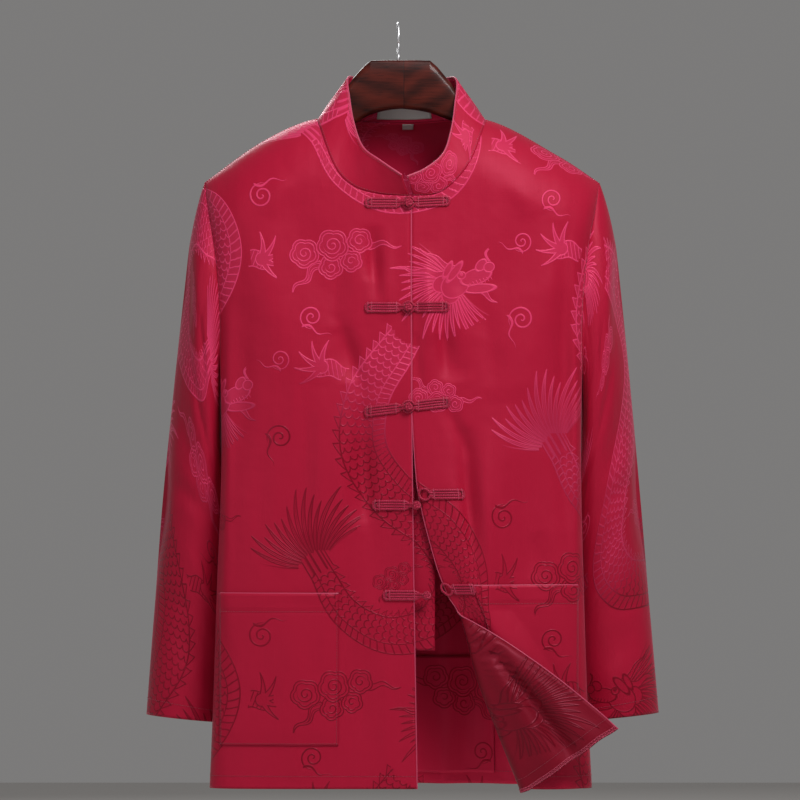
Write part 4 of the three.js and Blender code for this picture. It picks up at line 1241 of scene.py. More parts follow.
    def curl(self) -> tuple[Num, Num]:
        """A long tendril that ends in a curl."""
        radius = self.tree.length(self.x, self.y)
        angle = self.tree.angle(self.y, self.x)
        spiral = (((radius / 7.0 - angle / (2 * math.pi)).fraction() - 0.5) * 7.0).line(0.8)
        tail = self.ribbon((-8.0, 10.2), 238.0, 32.0, 1.5, 2.4)
        lines = (spiral * (radius - 13.2).inside()).over(tail.inside())
        return lines, lines * 0.5


@dataclass(frozen=True)
class Jacquard:
    """Red satin with a pattern woven in the same red, its motifs in painted sheen: lighter high on the cloth
    and darker low on it.
    """

    ground: tuple[float, float, float] = (0.42, 0.006, 0.032)
    # The motifs' colour in painted sheen, high on the cloth
    painted_highlight: tuple[float, float, float] = (0.76, 0.05, 0.155)
    # The motifs' colour in painted shade, low on the cloth
    deep: tuple[float, float, float] = (0.17, 0.002, 0.01)
    roughness: float = 0.5
    line_roughness: float = 0.34
    sheen: float = 0.2
    gloss_tint: tuple[float, float, float] = (1.0, 0.26, 0.4)
    relief: float = 0.0008
    relief_strength: float = 0.55
    drape: float = 0.0038
    drape_strength: float = 0.6
    # Heights in the flat cloth, in metres, over which the motifs go from painted shade to painted sheen
    sheen_fade_low: float = -0.52
    sheen_fade_high: float = -0.38
    # Noise scales: the cloth's own threads, the patches of the motifs' painted sheen, the painted shimmer
    # over the motifs, its long folds and its crumple
    streak_scale: float = 900.0
    slub_scale: float = 700.0
    sheen_patch_scale: float = 5.0
    shimmer_scale: float = 11.0
    fold_scale: float = 27.0
    crumple_scale: float = 34.0

    def material(self, name: str, motif: Motif) -> Material:
        """Makes the material for one motif.

        Args:
            name: the material's name.
            motif: what its faces show.

        Returns:
            The material.
        """
        material, tree, shader = new_material(name)
        flat = tree.flat()
        place = tree.node("ShaderNodeAttribute", {"attribute_name": "motif"}).outputs["Vector"]
        lines, fill = Weave(tree, *tree.split(place)).draw(motif)
        height = tree.split(flat)[1]
        # Painted sheen: a mask that lights the motifs high on the cloth and shades them low on it, with a
        # patchy edge
        sheen_patches = tree.noise(flat, self.sheen_patch_scale, 1.0)
        lit = (height + (sheen_patches - 0.5) * 0.34).ramp(self.sheen_fade_low, self.sheen_fade_high)
        streaks = tree.noise(tree.stretched(flat, (1.0, 0.02, 1.0)), self.streak_scale, 2.0)
        slubs = tree.noise(tree.stretched(flat, (0.03, 1.0, 1.0)), self.slub_scale, 1.0)
        ground = tree.colour((streaks - 0.5) * 0.5 + 0.25, self.ground, tuple(c * 0.86 for c in self.ground))
        rough = self.roughness + (streaks - 0.5) * 0.1 + (slubs - 0.5) * 0.06
        relief = streaks * 0.12 + slubs * 0.1
        if lines is not None:
            # The motifs' tone runs from painted shade to painted highlight, their fill shows more where the
            # sheen is painted, and the shimmer paints uneven sheen over them
            tone = tree.colour(lit, self.deep, self.painted_highlight)
            shimmer = tree.noise(flat, self.shimmer_scale, 1.0) * 0.9 + 0.42
            amount = (lines + fill * (lit * 0.3 + 0.22)).under(1.0) * shimmer
            ground = tree.colour(amount.under(0.96), ground, tone)
            rough = tree.mix(lines.over(fill * 0.6), rough, self.line_roughness)
            relief = relief + lines * 0.7 + fill * 0.35
        long_folds = tree.noise(tree.stretched(flat, (1.0, 0.3, 1.0)), self.fold_scale, 1.5)
        crumple = tree.noise(flat, self.crumple_scale, 2.0)
        soft = tree.bump(long_folds + crumple * 0.35, self.drape, self.drape_strength)
        sockets = {
            "Base Color": ground,
            "Roughness": rough,
            "Normal": tree.bump(relief, self.relief, self.relief_strength, soft),
            "Sheen Weight": self.sheen,
            "Sheen Roughness": 0.4,
            "Sheen Tint": (*self.gloss_tint, 1.0),
            "Specular Tint": (*self.gloss_tint, 1.0),
            "Specular IOR Level": 0.5,
        }
        tree.fill(shader, sockets)
        return material

    def set(self, name: str) -> list[Material]:
        """One material for each motif, in the order of the slots."""
        return [self.material(f"{name}_{motif.name.lower()}", motif) for motif in Motif]


@dataclass(frozen=True)
class Tape:
    """Woven white tape, left blank."""

    colour: tuple[float, float, float] = (0.72, 0.68, 0.66)
    shade: tuple[float, float, float] = (0.5, 0.46, 0.45)
    threads: float = 4200.0

    def material(self, name: str) -> Material:
        """Makes the material."""
        material, tree, shader = new_material(name)
        u, v, _ = tree.split(tree.flat())
        weave = (u * self.threads).sine() * (v * self.threads).sine()
        colour = tree.colour(weave * 0.25 + 0.3, self.colour, self.shade)
        tree.fill(shader, {"Base Color": colour, "Roughness": 0.75, "Normal": tree.bump(weave, 0.0001)})
        return material


def declare(piece: Object, node: str) -> None:
    """Fixes a piece to the body, in place of a solid."""
    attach(piece, "root")
    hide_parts(node)


@dataclass
class Cloth:
    """Sizes that every sheet shares."""

    thickness: float = 0.9
    step: float = 3.2

    def lay(
        self,
        node: str,
        grid: ClothGrid,
        slots: Sequence[Material],
        flat: tuple[float, float],
        rests_on: Sequence[str],
        area: float | None = None,
        held: str = "hung",
    ) -> None:
        """Args:
            node: the CAD node that it replaces.
            grid: its worn form.
            slots: its materials, those of the right side first.
            flat: width and length of its cut, in metres. Not used.
            rests_on: what it hangs from or lies on. Not used.
            area: flat area where the cut isn't a rectangle. Not used.
            held: how it is held. Not used.
        """
        piece = grid.build(f"{node}_cloth")
        for material in slots:
            piece.data.materials.append(material)
        wall = piece.modifiers.new("wall", "SOLIDIFY")
        wall.thickness, wall.offset = self.thickness * MM, 0.0
        wall.use_even_offset = False
        wall.material_offset, wall.material_offset_rim = len(slots) // 2, 0
        declare(piece, node)
        LOG.info("%s: %.4f square metres worn", node, grid.area())


@dataclass
class Fronts:
    """Both fronts, the strip behind the closure and the patch pockets."""

    cloth: Cloth
    pocket_step: float = 2.8
    pocket_lift: float = 1.5
    underlap_lift: float = -2.65

    def panel(self, side: Side) -> ClothGrid:
        """The grid of a front."""
        us, vs = even(0, 1, self.cloth.step, FRONT_WIDTH), panel_rows(self.cloth.step)
        u, v = grid_of(us, vs)
        points = FORM.front_surface(side)(u, v)
        sides = np.full(len(u), float(side))
        share, drop = FORM.panel_place(sides, Face.FRONT, u, v)
        flat = FORM.cut_place(Face.FRONT, side, share, drop)
        return ClothGrid.of(us, vs, points, flat, -int(side))

    def patch(self, side: Side, x0: float, x1: float, z0: float, z1: float, step: float) -> ClothGrid:
        """A rectangle of a front as cut, from x0 to x1 and from z0 down to z1."""
        us = even(0, 1, step, abs(x1 - x0))
        vs = even(0, 1, step, abs(z1 - z0))
        u, v = grid_of(us, vs)
        low, high = min(x0, x1), max(x0, x1)
        x, z = lerp(high, low, u), lerp(z0, z1, v)
        return ClothGrid.of(us, vs, FORM.front_at(side, x, z), np.stack([x, z], axis=1))

    def underlap(self) -> ClothGrid:
        """The strip behind the closure."""
        grid = self.patch(Side.LEFT, -8.0, 40.0, -196.0, -690.0, self.cloth.step)
        points = grid.points.copy()
        points[..., 1] += 6.0 * smooth((-400.0 - points[..., 2]) / 90.0)
        return ClothGrid(points, grid.flat).moved_out(self.underlap_lift)

    def pocket(self, side: Side) -> ClothGrid:
        """A patch pocket, pressed to the front at its sewn edges and a little proud between them."""
        grid = self.patch(side, *POCKETS[side], self.pocket_step)
        rows, columns = grid.points.shape[:2]
        across, down = np.meshgrid(np.linspace(0, 1, columns), np.linspace(0, 1, rows))
        swell = smooth(np.minimum(across, 1 - across) * 9) * smooth((1 - down) * 9)
        hem = np.where((down > 0.115) & (down < 0.13), -0.5, 0.0) + 0.5 * (down <= 0.115)
        return grid.moved_out(self.pocket_lift + 0.9 * swell + hem)

    def build(self, satin: Sequence[Material]) -> None:
        """Builds and declares every piece of the fronts."""
        lay = self.cloth.lay
        names = {Side.LEFT: "right", Side.RIGHT: "left"}
        for side, name in names.items():
            lay(f"front_{name}", self.panel(side), satin, (0.26, 0.76), ["hanger_arm"], 0.155)
        for side, name in names.items():
            under = [f"front_{name}_cloth"]
            lay(f"pocket_{name}", self.pocket(side), satin, (0.135, 0.167), under, held="stretched")
        lay("underlap", self.underlap(), satin, (0.05, 0.495), ["front_right_cloth"])


@dataclass
class Back:
    """The back panel and the patch inside it."""

    cloth: Cloth
    patch_step: float = 3.4
    patch_in: float = 1.6

    def panel(self, us: Values, vs: Values) -> ClothGrid:
        """The grid of a part of the back."""
        u, v = grid_of(us, vs)
        points = FORM.back(u, v)
        sides = np.where(u < 0, -1.0, 1.0)
        share, drop = FORM.panel_place(sides, Face.BACK, np.abs(u), v)
        flat = np.empty((len(u), 2))
        for side in Side:
            own = sides == side
            flat[own] = FORM.cut_place(Face.BACK, side, share[own], drop[own])
        flat[:, 0] *= -1
        return ClothGrid.of(us, vs, points, flat)

    def patch(self) -> ClothGrid:
        """The patch on the inside, low on the viewer's right."""
        us = even(-0.0625, 0.4375, self.patch_step, 120)
        vs = even(row_of(-700), row_of(-830), self.patch_step, 130)
        return self.panel(us, vs).moved_out(-self.patch_in)

    def build(self, satin: Sequence[Material]) -> None:
        step = self.cloth.step + 0.4
        whole = self.panel(even(-1, 1, step, BACK_WIDTH), panel_rows(step))
        self.cloth.lay("back", whole, satin, (0.5, 0.78), ["hanger_arm"], 0.34)
        self.cloth.lay("inner_patch", self.patch(), satin, (0.125, 0.13), ["back_cloth"], held="stretched")


SLEEVES = {
    Side.LEFT: Table(
        ("s", "out_x", "out_z", "in_x", "in_z", "y", "deep"),
        (
            (0, -217, -176, -201, -402, -4, 44),
            (0.08, -228, -222, -197, -431, 0, 47),
            (0.2, -237, -294, -195, -476, 8, 50),
            (0.4, -250, -411, -189, -550, 22, 50),
            (0.6, -262, -529, -188, -624, 32, 47),
            (0.8, -271, -647, -189, -698, 37, 43),
            (1, -280, -764, -190, -773, 39, 39),
        ),
    ),
    Side.RIGHT: Table(
        ("s", "out_x", "out_z", "in_x", "in_z", "y", "deep"),
        (
            (0, 225, -176, 205, -402, -4, 44),
            (0.08, 237, -222, 203, -431, 0, 47),
            (0.2, 246, -294, 201, -476, 8, 50),
            (0.4, 258, -411, 195, -550, 22, 50),
            (0.6, 269, -529, 194, -624, 32, 47),
            (0.8, 279, -647, 195, -698, 37, 43),
            (1, 289, -762, 200, -771, 39, 39),
        ),
    ),
}
# Creases round a sleeve: station, half length, angle, half angle, depth and slant
SLEEVE_CREASES = (
    (0.2, 0.08, 0.5, 0.5, 5, 0),
    (0.42, 0.06, 1.1, 0.6, 4, 0),
    (0.6, 0.1, 0.2, 0.45, 5, 0),
    (0.82, 0.07, 1.4, 0.5, 3, 0),
    (0.35, 0.1, 4.4, 0.5, 5, 0),
    (0.7, 0.08, 4.9, 0.6, 4, 0),
    (0.14, 0.05, 1.5, 0.3, 2.5, 2.0),
    (0.3, 0.03, 1.6, 0.5, 2.2, 1.4),
    (0.52, 0.025, 1.2, 0.6, 2.4, -1.2),
    (0.66, 0.03, 1.9, 0.5, -2.0, 1.0),
    (0.76, 0.022, 1.1, 0.55, 2.2, -1.0),
    (0.9, 0.03, 1.7, 0.4, -1.8, 0.8),
    (0.25, 0.03, 4.9, 0.5, 2.4, 1.2),
    (0.48, 0.03, 4.5, 0.6, 2.6, -1.0),
    (0.58, 0.025, 5.2, 0.4, -2.2, 0.8),
    (0.84, 0.03, 4.7, 0.5, 2.2, 0.9),
)


@dataclass
class Sleeves:
    """Two set-in sleeves that hang beside the body."""

    cloth: Cloth
    girth: float = 360.0
    rows: int = 160
    seam_gap: float = 0.4
    # Where the sleeves were cut from the cloth: beside the body and below the shoulder
    cut_x: float = 330.0
    cut_z: float = -170.0

    def seam(self, side: Side, angle: Values) -> Values:
        """The armhole seam: 0 is the shoulder tip, a quarter turn the front, a half turn the underarm."""
        turn = angle / np.pi
        v = ARMHOLE_V * np.where(turn <= 1, turn, 2 - turn)
        ones = np.ones_like(v)
        p = np.where((turn <= 1)[:, None], FORM.front(side, ones, v), FORM.back(ones * side, v))
        p[:, 0] += side * self.seam_gap
        return p

    def point(self, side: Side, angle: Values, s: Values) -> Values:
        """A point of a sleeve at an angle round it and a share of its length."""
        table = SLEEVES[side]
        blend = (1 + np.cos(angle)) / 2
        x = lerp(table.at("in_x", s), table.at("out_x", s), blend)
        z = lerp(table.at("in_z", s), table.at("out_z", s), blend)
        y = table.at("y", s) - table.at("deep", s) * np.sin(angle)
        crease = np.zeros_like(x)
        for at, long, round_at, wide, depth, slant in SLEEVE_CREASES:
            off = angle - round_at
            crease += depth * np.exp(-(((s - at - slant * 0.04 * off) / long) ** 2) - (off / wide) ** 2)
        free = np.stack([x - side * crease * np.cos(angle), y + crease * np.sin(angle), z], axis=1)
        return lerp(self.seam(side, angle), free, smooth(s / 0.12)[:, None])

    def grid(self, side: Side) -> ClothGrid:
        """The grid of a sleeve."""
        count = round(self.girth / (self.cloth.step + 0.4))
        angles = np.linspace(0, 2 * np.pi, count, endpoint=False)
        stations = np.linspace(0, 1, self.rows) ** 1.08
        angle, s = grid_of(angles, stations)
        points = self.point(side, angle, s).reshape(len(stations), count, 3)
        loop = np.concatenate([points, points[:, :1]], axis=1)
        steps = np.cumsum(np.linalg.norm(np.diff(loop, axis=1), axis=2), axis=1)
        across = np.concatenate([np.zeros((len(stations), 1)), steps], axis=1)
        across = across - across[:, -1:] / 4
        down = np.repeat(self.cut_z - runs(points.mean(axis=1))[:, None], count + 1, axis=1)
        flat = np.stack([across * side + side * self.cut_x, down], axis=2)
        return ClothGrid(points, flat, closed=True, facing=self.facing(points))

    @staticmethod
    def facing(points: Values) -> int:
        """1 if the grid's own normals point out of the tube, else -1."""
        normals = grid_normals(points, closed=True)
        away = points - points.mean(axis=1, keepdims=True)
        return 1 if float((normals * away).sum()) > 0 else -1

    def build(self, satin: Sequence[Material]) -> None:
        """Builds and declares both sleeves."""
        for side, name in ((Side.LEFT, "sleeve_right"), (Side.RIGHT, "sleeve_left")):
            self.cloth.lay(name, self.grid(side), satin, (0.36, 0.6), ["back_cloth"], 0.135)


COLLAR_TOP = {
    Side.LEFT: Table(
        ("k", "x", "y", "z"),
        (
            (0, 5, -79, -169),
            (0.15, -20, -74, -152),
            (0.3, -39, -62, -137),
            (0.45, -49, -44, -111),
            (0.6, -54.5, -20, -80),
            (0.72, -56, 4, -58),
            (0.86, -42, 30, -58),
            (1, 2, 42, -62),
        ),
    ),
    Side.RIGHT: Table(
        ("k", "x", "y", "z"),
        (
            (0, 8.5, -79, -170),
            (0.15, 29, -73, -161),
            (0.3, 49, -60, -144),
            (0.45, 58, -42, -118),
            (0.6, 62.5, -20, -88),
            (0.72, 64, 4, -60),
            (0.86, 48, 30, -58),
            (1, 2, 42, -62),
        ),
    ),
}
NECK_POINT_K = 0.66


@dataclass
class Collar:
    """The stand collar and the labels at the back of the neck."""

    cloth: Cloth
    wall: float = 1.6
    label_wall: float = 0.5
    foot_rise: float = 0.004
    # Length and height of the worn collar, and what they measure in the flat cloth to either side
    size: tuple[float, float] = (235.0, 48.0)
    cut: tuple[float, float] = (232.0, 46.0)
    cut_z: float = -150.0

    def point(self, around: Values, v: Values) -> Values:
        """A point of the collar: around from -1 to 1 through the back at 0, v from foot to top."""
        out = np.empty((len(around), 3))
        for side in Side:
            own = (around < 0) == (side is Side.LEFT)
            k = 1 - np.abs(around[own])
            ahead = FORM.front(side, NECK_U * np.minimum(k / NECK_POINT_K, 1), np.zeros_like(k))
            rear = FORM.back(
                side * NECK_U * np.clip(1 - (k - NECK_POINT_K) / (1 - NECK_POINT_K), 0, 1) + side * 1e-9,
                np.zeros_like(k),
            )
            foot = np.where((k <= NECK_POINT_K)[:, None], ahead, rear)
            table = COLLAR_TOP[side]
            top = np.stack([table.at(c, k) for c in ("x", "y", "z")], axis=1)
            rise = top - foot
            out[own] = foot + rise * lerp(self.foot_rise, 1.0, v[own])[:, None]
        return out

    def grid(self, first: float, last: float, low: float, high: float, step: float) -> ClothGrid:
        """The grid of a part of the collar, from first to last round the neck and from low to high."""
        us = even(first, last, step, self.size[0] * abs(last - first))
        vs = even(low, high, step, self.size[1] * abs(high - low))
        around, v = grid_of(us, vs)
        flat = np.stack([around * self.cut[0], self.cut_z + v * self.cut[1]], axis=1)
        return ClothGrid.of(us, vs, self.point(around, v), flat, -1 if low < high else 1)

    def build(self, satin: Sequence[Material], tape: Material) -> None:
        grid = self.grid(-0.992, 0.992, 0, 1, 2.4)
        rows, columns = grid.points.shape[:2]
        roll = np.repeat(np.sin(np.linspace(0, np.pi, rows))[:, None] * 0.8, columns, axis=1)
        rests_on = ["front_right_cloth", "front_left_cloth", "back_cloth"]
        Cloth(thickness=self.wall).lay("collar", grid.moved_out(roll), satin, (0.47, 0.05), rests_on)
        small = Back(self.cloth).panel(np.linspace(0.012, 0.046, 8), np.linspace(0.001, 0.0145, 6))
        labels = (
            ("neck_label", self.grid(-0.06, 0.085, 0.62, 0.06, 2.0).moved_out(-2.1), (0.046, 0.03)),
            ("size_label", small.moved_out(-1.5), (0.013, 0.0105)),
        )
        for name, grid, flat in labels:
            piece = grid.build(f"{name}_tape")
            piece.data.materials.append(tape)
            wall = piece.modifiers.new("wall", "SOLIDIFY")
            wall.thickness, wall.offset = self.label_wall * MM, 0.0
            declare(piece, name)
            LOG.info("%s: %.5f square metres", name, grid.area())


@dataclass(frozen=True)
class CordSatin:
    """Rolled satin cord, with a faint twist whose crowns carry a painted highlight."""

    colour: tuple[float, float, float] = (0.23, 0.004, 0.02)
    # The crowns of the twist, in a painted highlight
    painted_highlight: tuple[float, float, float] = (0.4, 0.012, 0.05)
    roughness: float = 0.36

    def material(self, name: str) -> Material:
        """Makes the material."""
        material, tree, shader = new_material(name)
        along, around, _ = tree.split(tree.flat())
        # The grooves of the twist keep the cord's own colour and its crowns get the painted highlight
        twist = ((along * 420.0 + around).fraction() - 0.5).line(0.1, 0.25)
        sockets = {
            "Base Color": tree.colour(twist, self.painted_highlight, self.colour),
            "Roughness": self.roughness,
            "Normal": tree.bump(1.0 - twist, 0.0003, 0.5),
            "Sheen Weight": 0.15,
            "Specular Tint": (1.0, 0.35, 0.5, 1.0),
        }
        tree.fill(shader, sockets)
        return material


@dataclass(frozen=True)
class Plain:
    """A finish of one colour."""

    colour: tuple[float, float, float]
    roughness: float = 0.5
    metallic: float = 0.0
    sheen: float = 0.0

    def material(self, name: str) -> Material:
        """Makes the material."""
        material, tree, shader = new_material(name)
        sockets = {
            "Base Color": (*self.colour, 1.0),
            "Roughness": self.roughness,
            "Metallic": self.metallic,
            "Sheen Weight": self.sheen,
        }
        tree.fill(shader, sockets)
        return material


@dataclass(frozen=True)
class Wood:
    """Dark red-brown polished wood of two halves glued at the middle, each with its own grain."""

    dark: tuple[float, float, float] = (0.011, 0.0016, 0.001)
    light: tuple[float, float, float] = (0.105, 0.012, 0.006)
    joint_x: float = 0.006
    coat: float = 0.18

    def material(self, name: str) -> Material:
        """Makes the material."""
        material, tree, shader = new_material(name)
        place = tree.node("ShaderNodeNewGeometry", None).outputs["Position"]
        x, _, z = tree.split(place)
        half = (x - self.joint_x).ramp(-0.0002, 0.0002)
        slant = tree.mix(half, x * 0.35, x * -0.75)
        wander = tree.noise(tree.stretched(place, (9.0, 20.0, 9.0)), 1.6, 2.0)
        rings = ((z + slant + wander * 0.03 + half * 0.013) * 230.0).sine() * 0.5 + 0.5
        fine = tree.noise(tree.stretched(place, (30.0, 300.0, 420.0)), 1.0, 3.0)
        pores = tree.noise(tree.stretched(place, (70.0, 700.0, 1000.0)), 1.0, 1.0).ramp(0.58, 0.72)
        tone = (rings * 0.45 + fine * 0.75 - 0.12) - pores * 0.3
        joint = abs(x - self.joint_x).ramp(0.0002, 0.0006, 1.0, 0.0)
        grain = tree.colour(tone.over(0.0).under(1.0), self.dark, self.light)
        sockets = {
            "Base Color": tree.colour(joint * 0.8, grain, self.dark),
            "Roughness": 0.36 + fine * 0.14,
            "Normal": tree.bump(fine - joint, 0.0002, 0.3),
            "Coat Weight": self.coat,
            "Coat Roughness": 0.12,
            "Specular IOR Level": 0.16,
        }
        tree.fill(shader, sockets)
        return material


class Strands:
    """Round strands gathered into one mesh."""

    def __init__(self) -> None:
        """Starts with nothing."""
        self.points: list[Values] = []
        self.faces: list[Values] = []
        self.flats: list[Values] = []
        self.kinds: list[Values] = []
        self.count = 0

    def add(
        self, path: Values, radius: Values | float, kind: int = 0, sides: int = 8, closed: bool = False
    ) -> None:
        """Adds a strand.

        Args:
            path: points of its middle line, in millimetres.
            radius: one radius, or one for each point.
            kind: its material's slot.
            sides: how many sides its section has.
            closed: whether the end meets the start.
        """
        ahead = np.roll(path, -1, 0) - np.roll(path, 1, 0) if closed else np.gradient(path, axis=0)
        ahead = unit(ahead)
        side = np.cross(ahead[0], (0.31, 0.91, 0.27))
        across = []
        for way in ahead:
            side = unit(side - way * float(side @ way))
            across.append(side)
        across = np.array(across)
        up = np.cross(ahead, across)
        turn = np.linspace(0, 2 * np.pi, sides, endpoint=False)[None, :, None]
        size = np.broadcast_to(np.asarray(radius, float), (len(path),))[:, None, None]
        rings = path[:, None] + size * (np.cos(turn) * across[:, None] + np.sin(turn) * up[:, None])
        r, c, faces = tube_cells(len(path), sides, closed)
        run = runs(np.concatenate([path, path[:1]])) * MM
        near, far = c / sides, (c + 1) / sides
        flat = ((run[r], far), (run[r + 1], far), (run[r + 1], near), (run[r], near))
        self.points.append(rings.reshape(-1, 3))
        self.faces.append(faces + self.count)
        self.flats.append(np.stack([np.stack(pair, axis=1) for pair in flat], axis=1))
        self.kinds.append(np.full(len(faces), kind, np.int32))
        self.count += rings.shape[0] * sides

    def build(self, name: str, materials: Sequence[Material]) -> Object:
        """Makes the mesh.

        Args:
            name: the piece's name.
            materials: one for each kind.

        Returns:
            The new object.
        """
        piece = mesh_object(
            name, np.concatenate(self.points) * MM, np.concatenate(self.faces), np.concatenate(self.flats)
        )
        for material in materials:
            piece.data.materials.append(material)
        piece.data.polygons.foreach_set("material_index", np.concatenate(self.kinds))
        return piece


FROGS = Table(
    ("number", "z", "tilt", "knot_x", "loop_z", "loop_tilt", "loop_in"),
    (
        (1, -198, 0, 11, -198, 0.05, -3),
        (2, -313, 0, 11, -313, 0.02, -3),
        (3, -422, -0.12, 11, -422, 0.12, -3),
        (4, -530, 0, 20, -518, 0, 8),
        (5, -629, 0, 31, -622, 0, 3),
    ),
)


@dataclass
class Frogs:
    """Five cord fastenings, each a knot half and a loop half of one cord folded into four runs."""

    cord: float = 1.45
    seat: float = 0.5
    length: float = 38.0
    knot_out: float = 6.4
    ring: float = 6.1
    ring_out: float = 3.0
    gap: float = 8.9
    ring_wire: float = 1.3
    thread: float = 0.42

    def placed(
        self, side: Side, x0: float, z0: float, tilt: float, s: Values, h: Values, lift: Values
    ) -> Values:
        """Points on a front: s out from the closure, h up, lift off the cloth."""
        x, z = x0 + side * s, z0 + h + tilt * np.maximum(s, 0.0)
        point = FORM.front_at(side, x, z)
        along = FORM.front_at(side, x + 0.5, z) - FORM.front_at(side, x - 0.5, z)
        up = FORM.front_at(side, x, z + 0.5) - FORM.front_at(side, x, z - 0.5)
        normal = unit(np.cross(along, up))
        return point + normal * np.broadcast_to(np.asarray(lift, float), s.shape)[:, None]

    def hairpin(self, start: float, end: float, half: float, waist: float) -> tuple[Values, Values]:
        """One fold of cord: out from start to end and back, drawn together at the waist."""
        run = np.linspace(start, end - half, 22)
        spread = lerp(waist, half, smooth((run - start) / 5.0))
        turn = np.linspace(0, np.pi, 13)[1:-1]
        bend_s = end - half + half * np.abs(np.sin(turn)) ** 0.7
        bend_h = half * np.sign(np.cos(turn)) * np.abs(np.cos(turn)) ** 0.7
        return np.concatenate([run, bend_s, run[::-1]]), np.concatenate([spread, bend_h, -spread[::-1]])

    def strip(
        self, strands: Strands, place: Callable[[Values, Values, Values], Values], start: float
    ) -> float:
        """Adds the outer fold and the sewn bars of a strip, and returns where the strip ends."""
        end = start + self.length
        lift = self.cord + self.seat
        s, h = self.hairpin(start - 0.5, end, 3 * self.cord, 1.6 * self.cord)
        strands.add(place(s, h, np.full_like(s, lift)), self.cord)
        for at in (start + 4.5, end - 6.5, end - 2.4):
            bar = np.linspace(-1, 1, 17)
            lifts = lift + self.cord * (0.75 + 0.3 * np.abs(np.cos(bar * 2 * np.pi))) * (1 - bar**8)
            path = place(np.full_like(bar, at), bar * 4.1 * self.cord, lifts)
            strands.add(path, self.thread, kind=1, sides=6)
        return end

    def knot_half(self, strands: Strands, x: float, z: float, tilt: float) -> None:
        """The half that ends in the knot."""
        place = partial(self.placed, Side.LEFT, x, z, tilt)
        end = self.strip(strands, place, self.gap)
        s, h = self.hairpin(2.5, end - 3 * self.cord, self.cord, 0.9)
        rise = lerp(self.knot_out - 0.6, self.cord + self.seat, smooth((s - 3.0) / 8.0))
        strands.add(place(s, h, rise), self.cord * 0.98)
        zero = np.zeros(1)
        centre = place(zero, zero, zero + self.knot_out)[0]
        turn = np.linspace(0, 2 * np.pi, 180, endpoint=False)
        reach = 2.5 + 1.35 * np.cos(4 * turn)
        knot = np.stack([reach * np.cos(3 * turn), 2.1 * np.sin(4 * turn), reach * np.sin(3 * turn)], axis=1)
        strands.add(centre + knot, 1.28, sides=8, closed=True)
        core = np.linspace(-1, 1, 9)
        radius = 3.0 * np.sqrt(np.maximum(1 - core**2, 0.003))
        strands.add(centre + core[:, None] * (0.0, 3.0, 0.0), radius, sides=10)

    def loop_half(self, strands: Strands, x: float, z: float, tilt: float) -> None:
        """The half that ends in the loop."""
        place = partial(self.placed, Side.RIGHT, x, z, tilt)
        end = self.strip(strands, place, self.ring + 0.4) - 3 * self.cord
        join = math.asin(self.cord / self.ring)
        around = np.linspace(-join, join - 2 * np.pi, 40)[1:-1]
        s, h = self.hairpin(self.ring * math.cos(join), end, self.cord, self.cord)
        s = np.concatenate([s, self.ring * np.cos(around)])
        h = np.concatenate([h, self.ring * np.sin(around)])
        lift = lerp(self.ring_out, self.cord + self.seat, smooth((s - self.ring) / 5.0))
        strands.add(place(s, h, lift), self.ring_wire, closed=True)

    def build(self, cord: Material, thread: Material) -> None:
        """Builds both halves of every fastening."""
        for number, z, tilt, knot_x, loop_z, loop_tilt, loop_in in FROGS.rows:
            halves = (
                ("knot", self.knot_half, (knot_x, z, tilt)),
                ("loop", self.loop_half, (CLOSURE_X + loop_in, loop_z, loop_tilt)),
            )
            for half, make, sizes in halves:
                strands = Strands()
                make(strands, *sizes)
                piece = strands.build(f"frog_{number}_{half}_cord", [cord, thread])
                declare(piece, f"frog_{number}_{half}")
        LOG.info("frogs: %d", len(FROGS.rows))


HANGER_ARM = Table(
    ("x", "top", "bottom", "deep"),
    (
        (-189, -165.2, -177, 9),
        (-182, -158.4, -183, 12),
        (-150, -133.4, -167, 14),
        (-110, -116.4, -147, 13),
        (-90, -112.2, -134, 12),
        (-80, -104, -127, 11),
        (-66, -82, -118, 10),
        (-50, -58, -110, 10),
        (-37, -44, -102, 10),
        (-31, -39, -99, 10),
        (-15, -38.5, -94.5, 10),
        (2, -38.5, -92.5, 10),
        (19, -38.5, -94, 10),
        (35, -39, -97, 10),
        (43, -46, -100, 10),
        (58, -64, -106, 10),
        (74, -88, -116, 10),
        (87, -104.2, -127, 11),
        (97, -113.2, -134, 12),
        (116, -119.9, -147, 13),
        (156, -136.4, -167, 14),
        (190, -157.4, -183, 12),
        (197, -166, -177, 9),
    ),
)


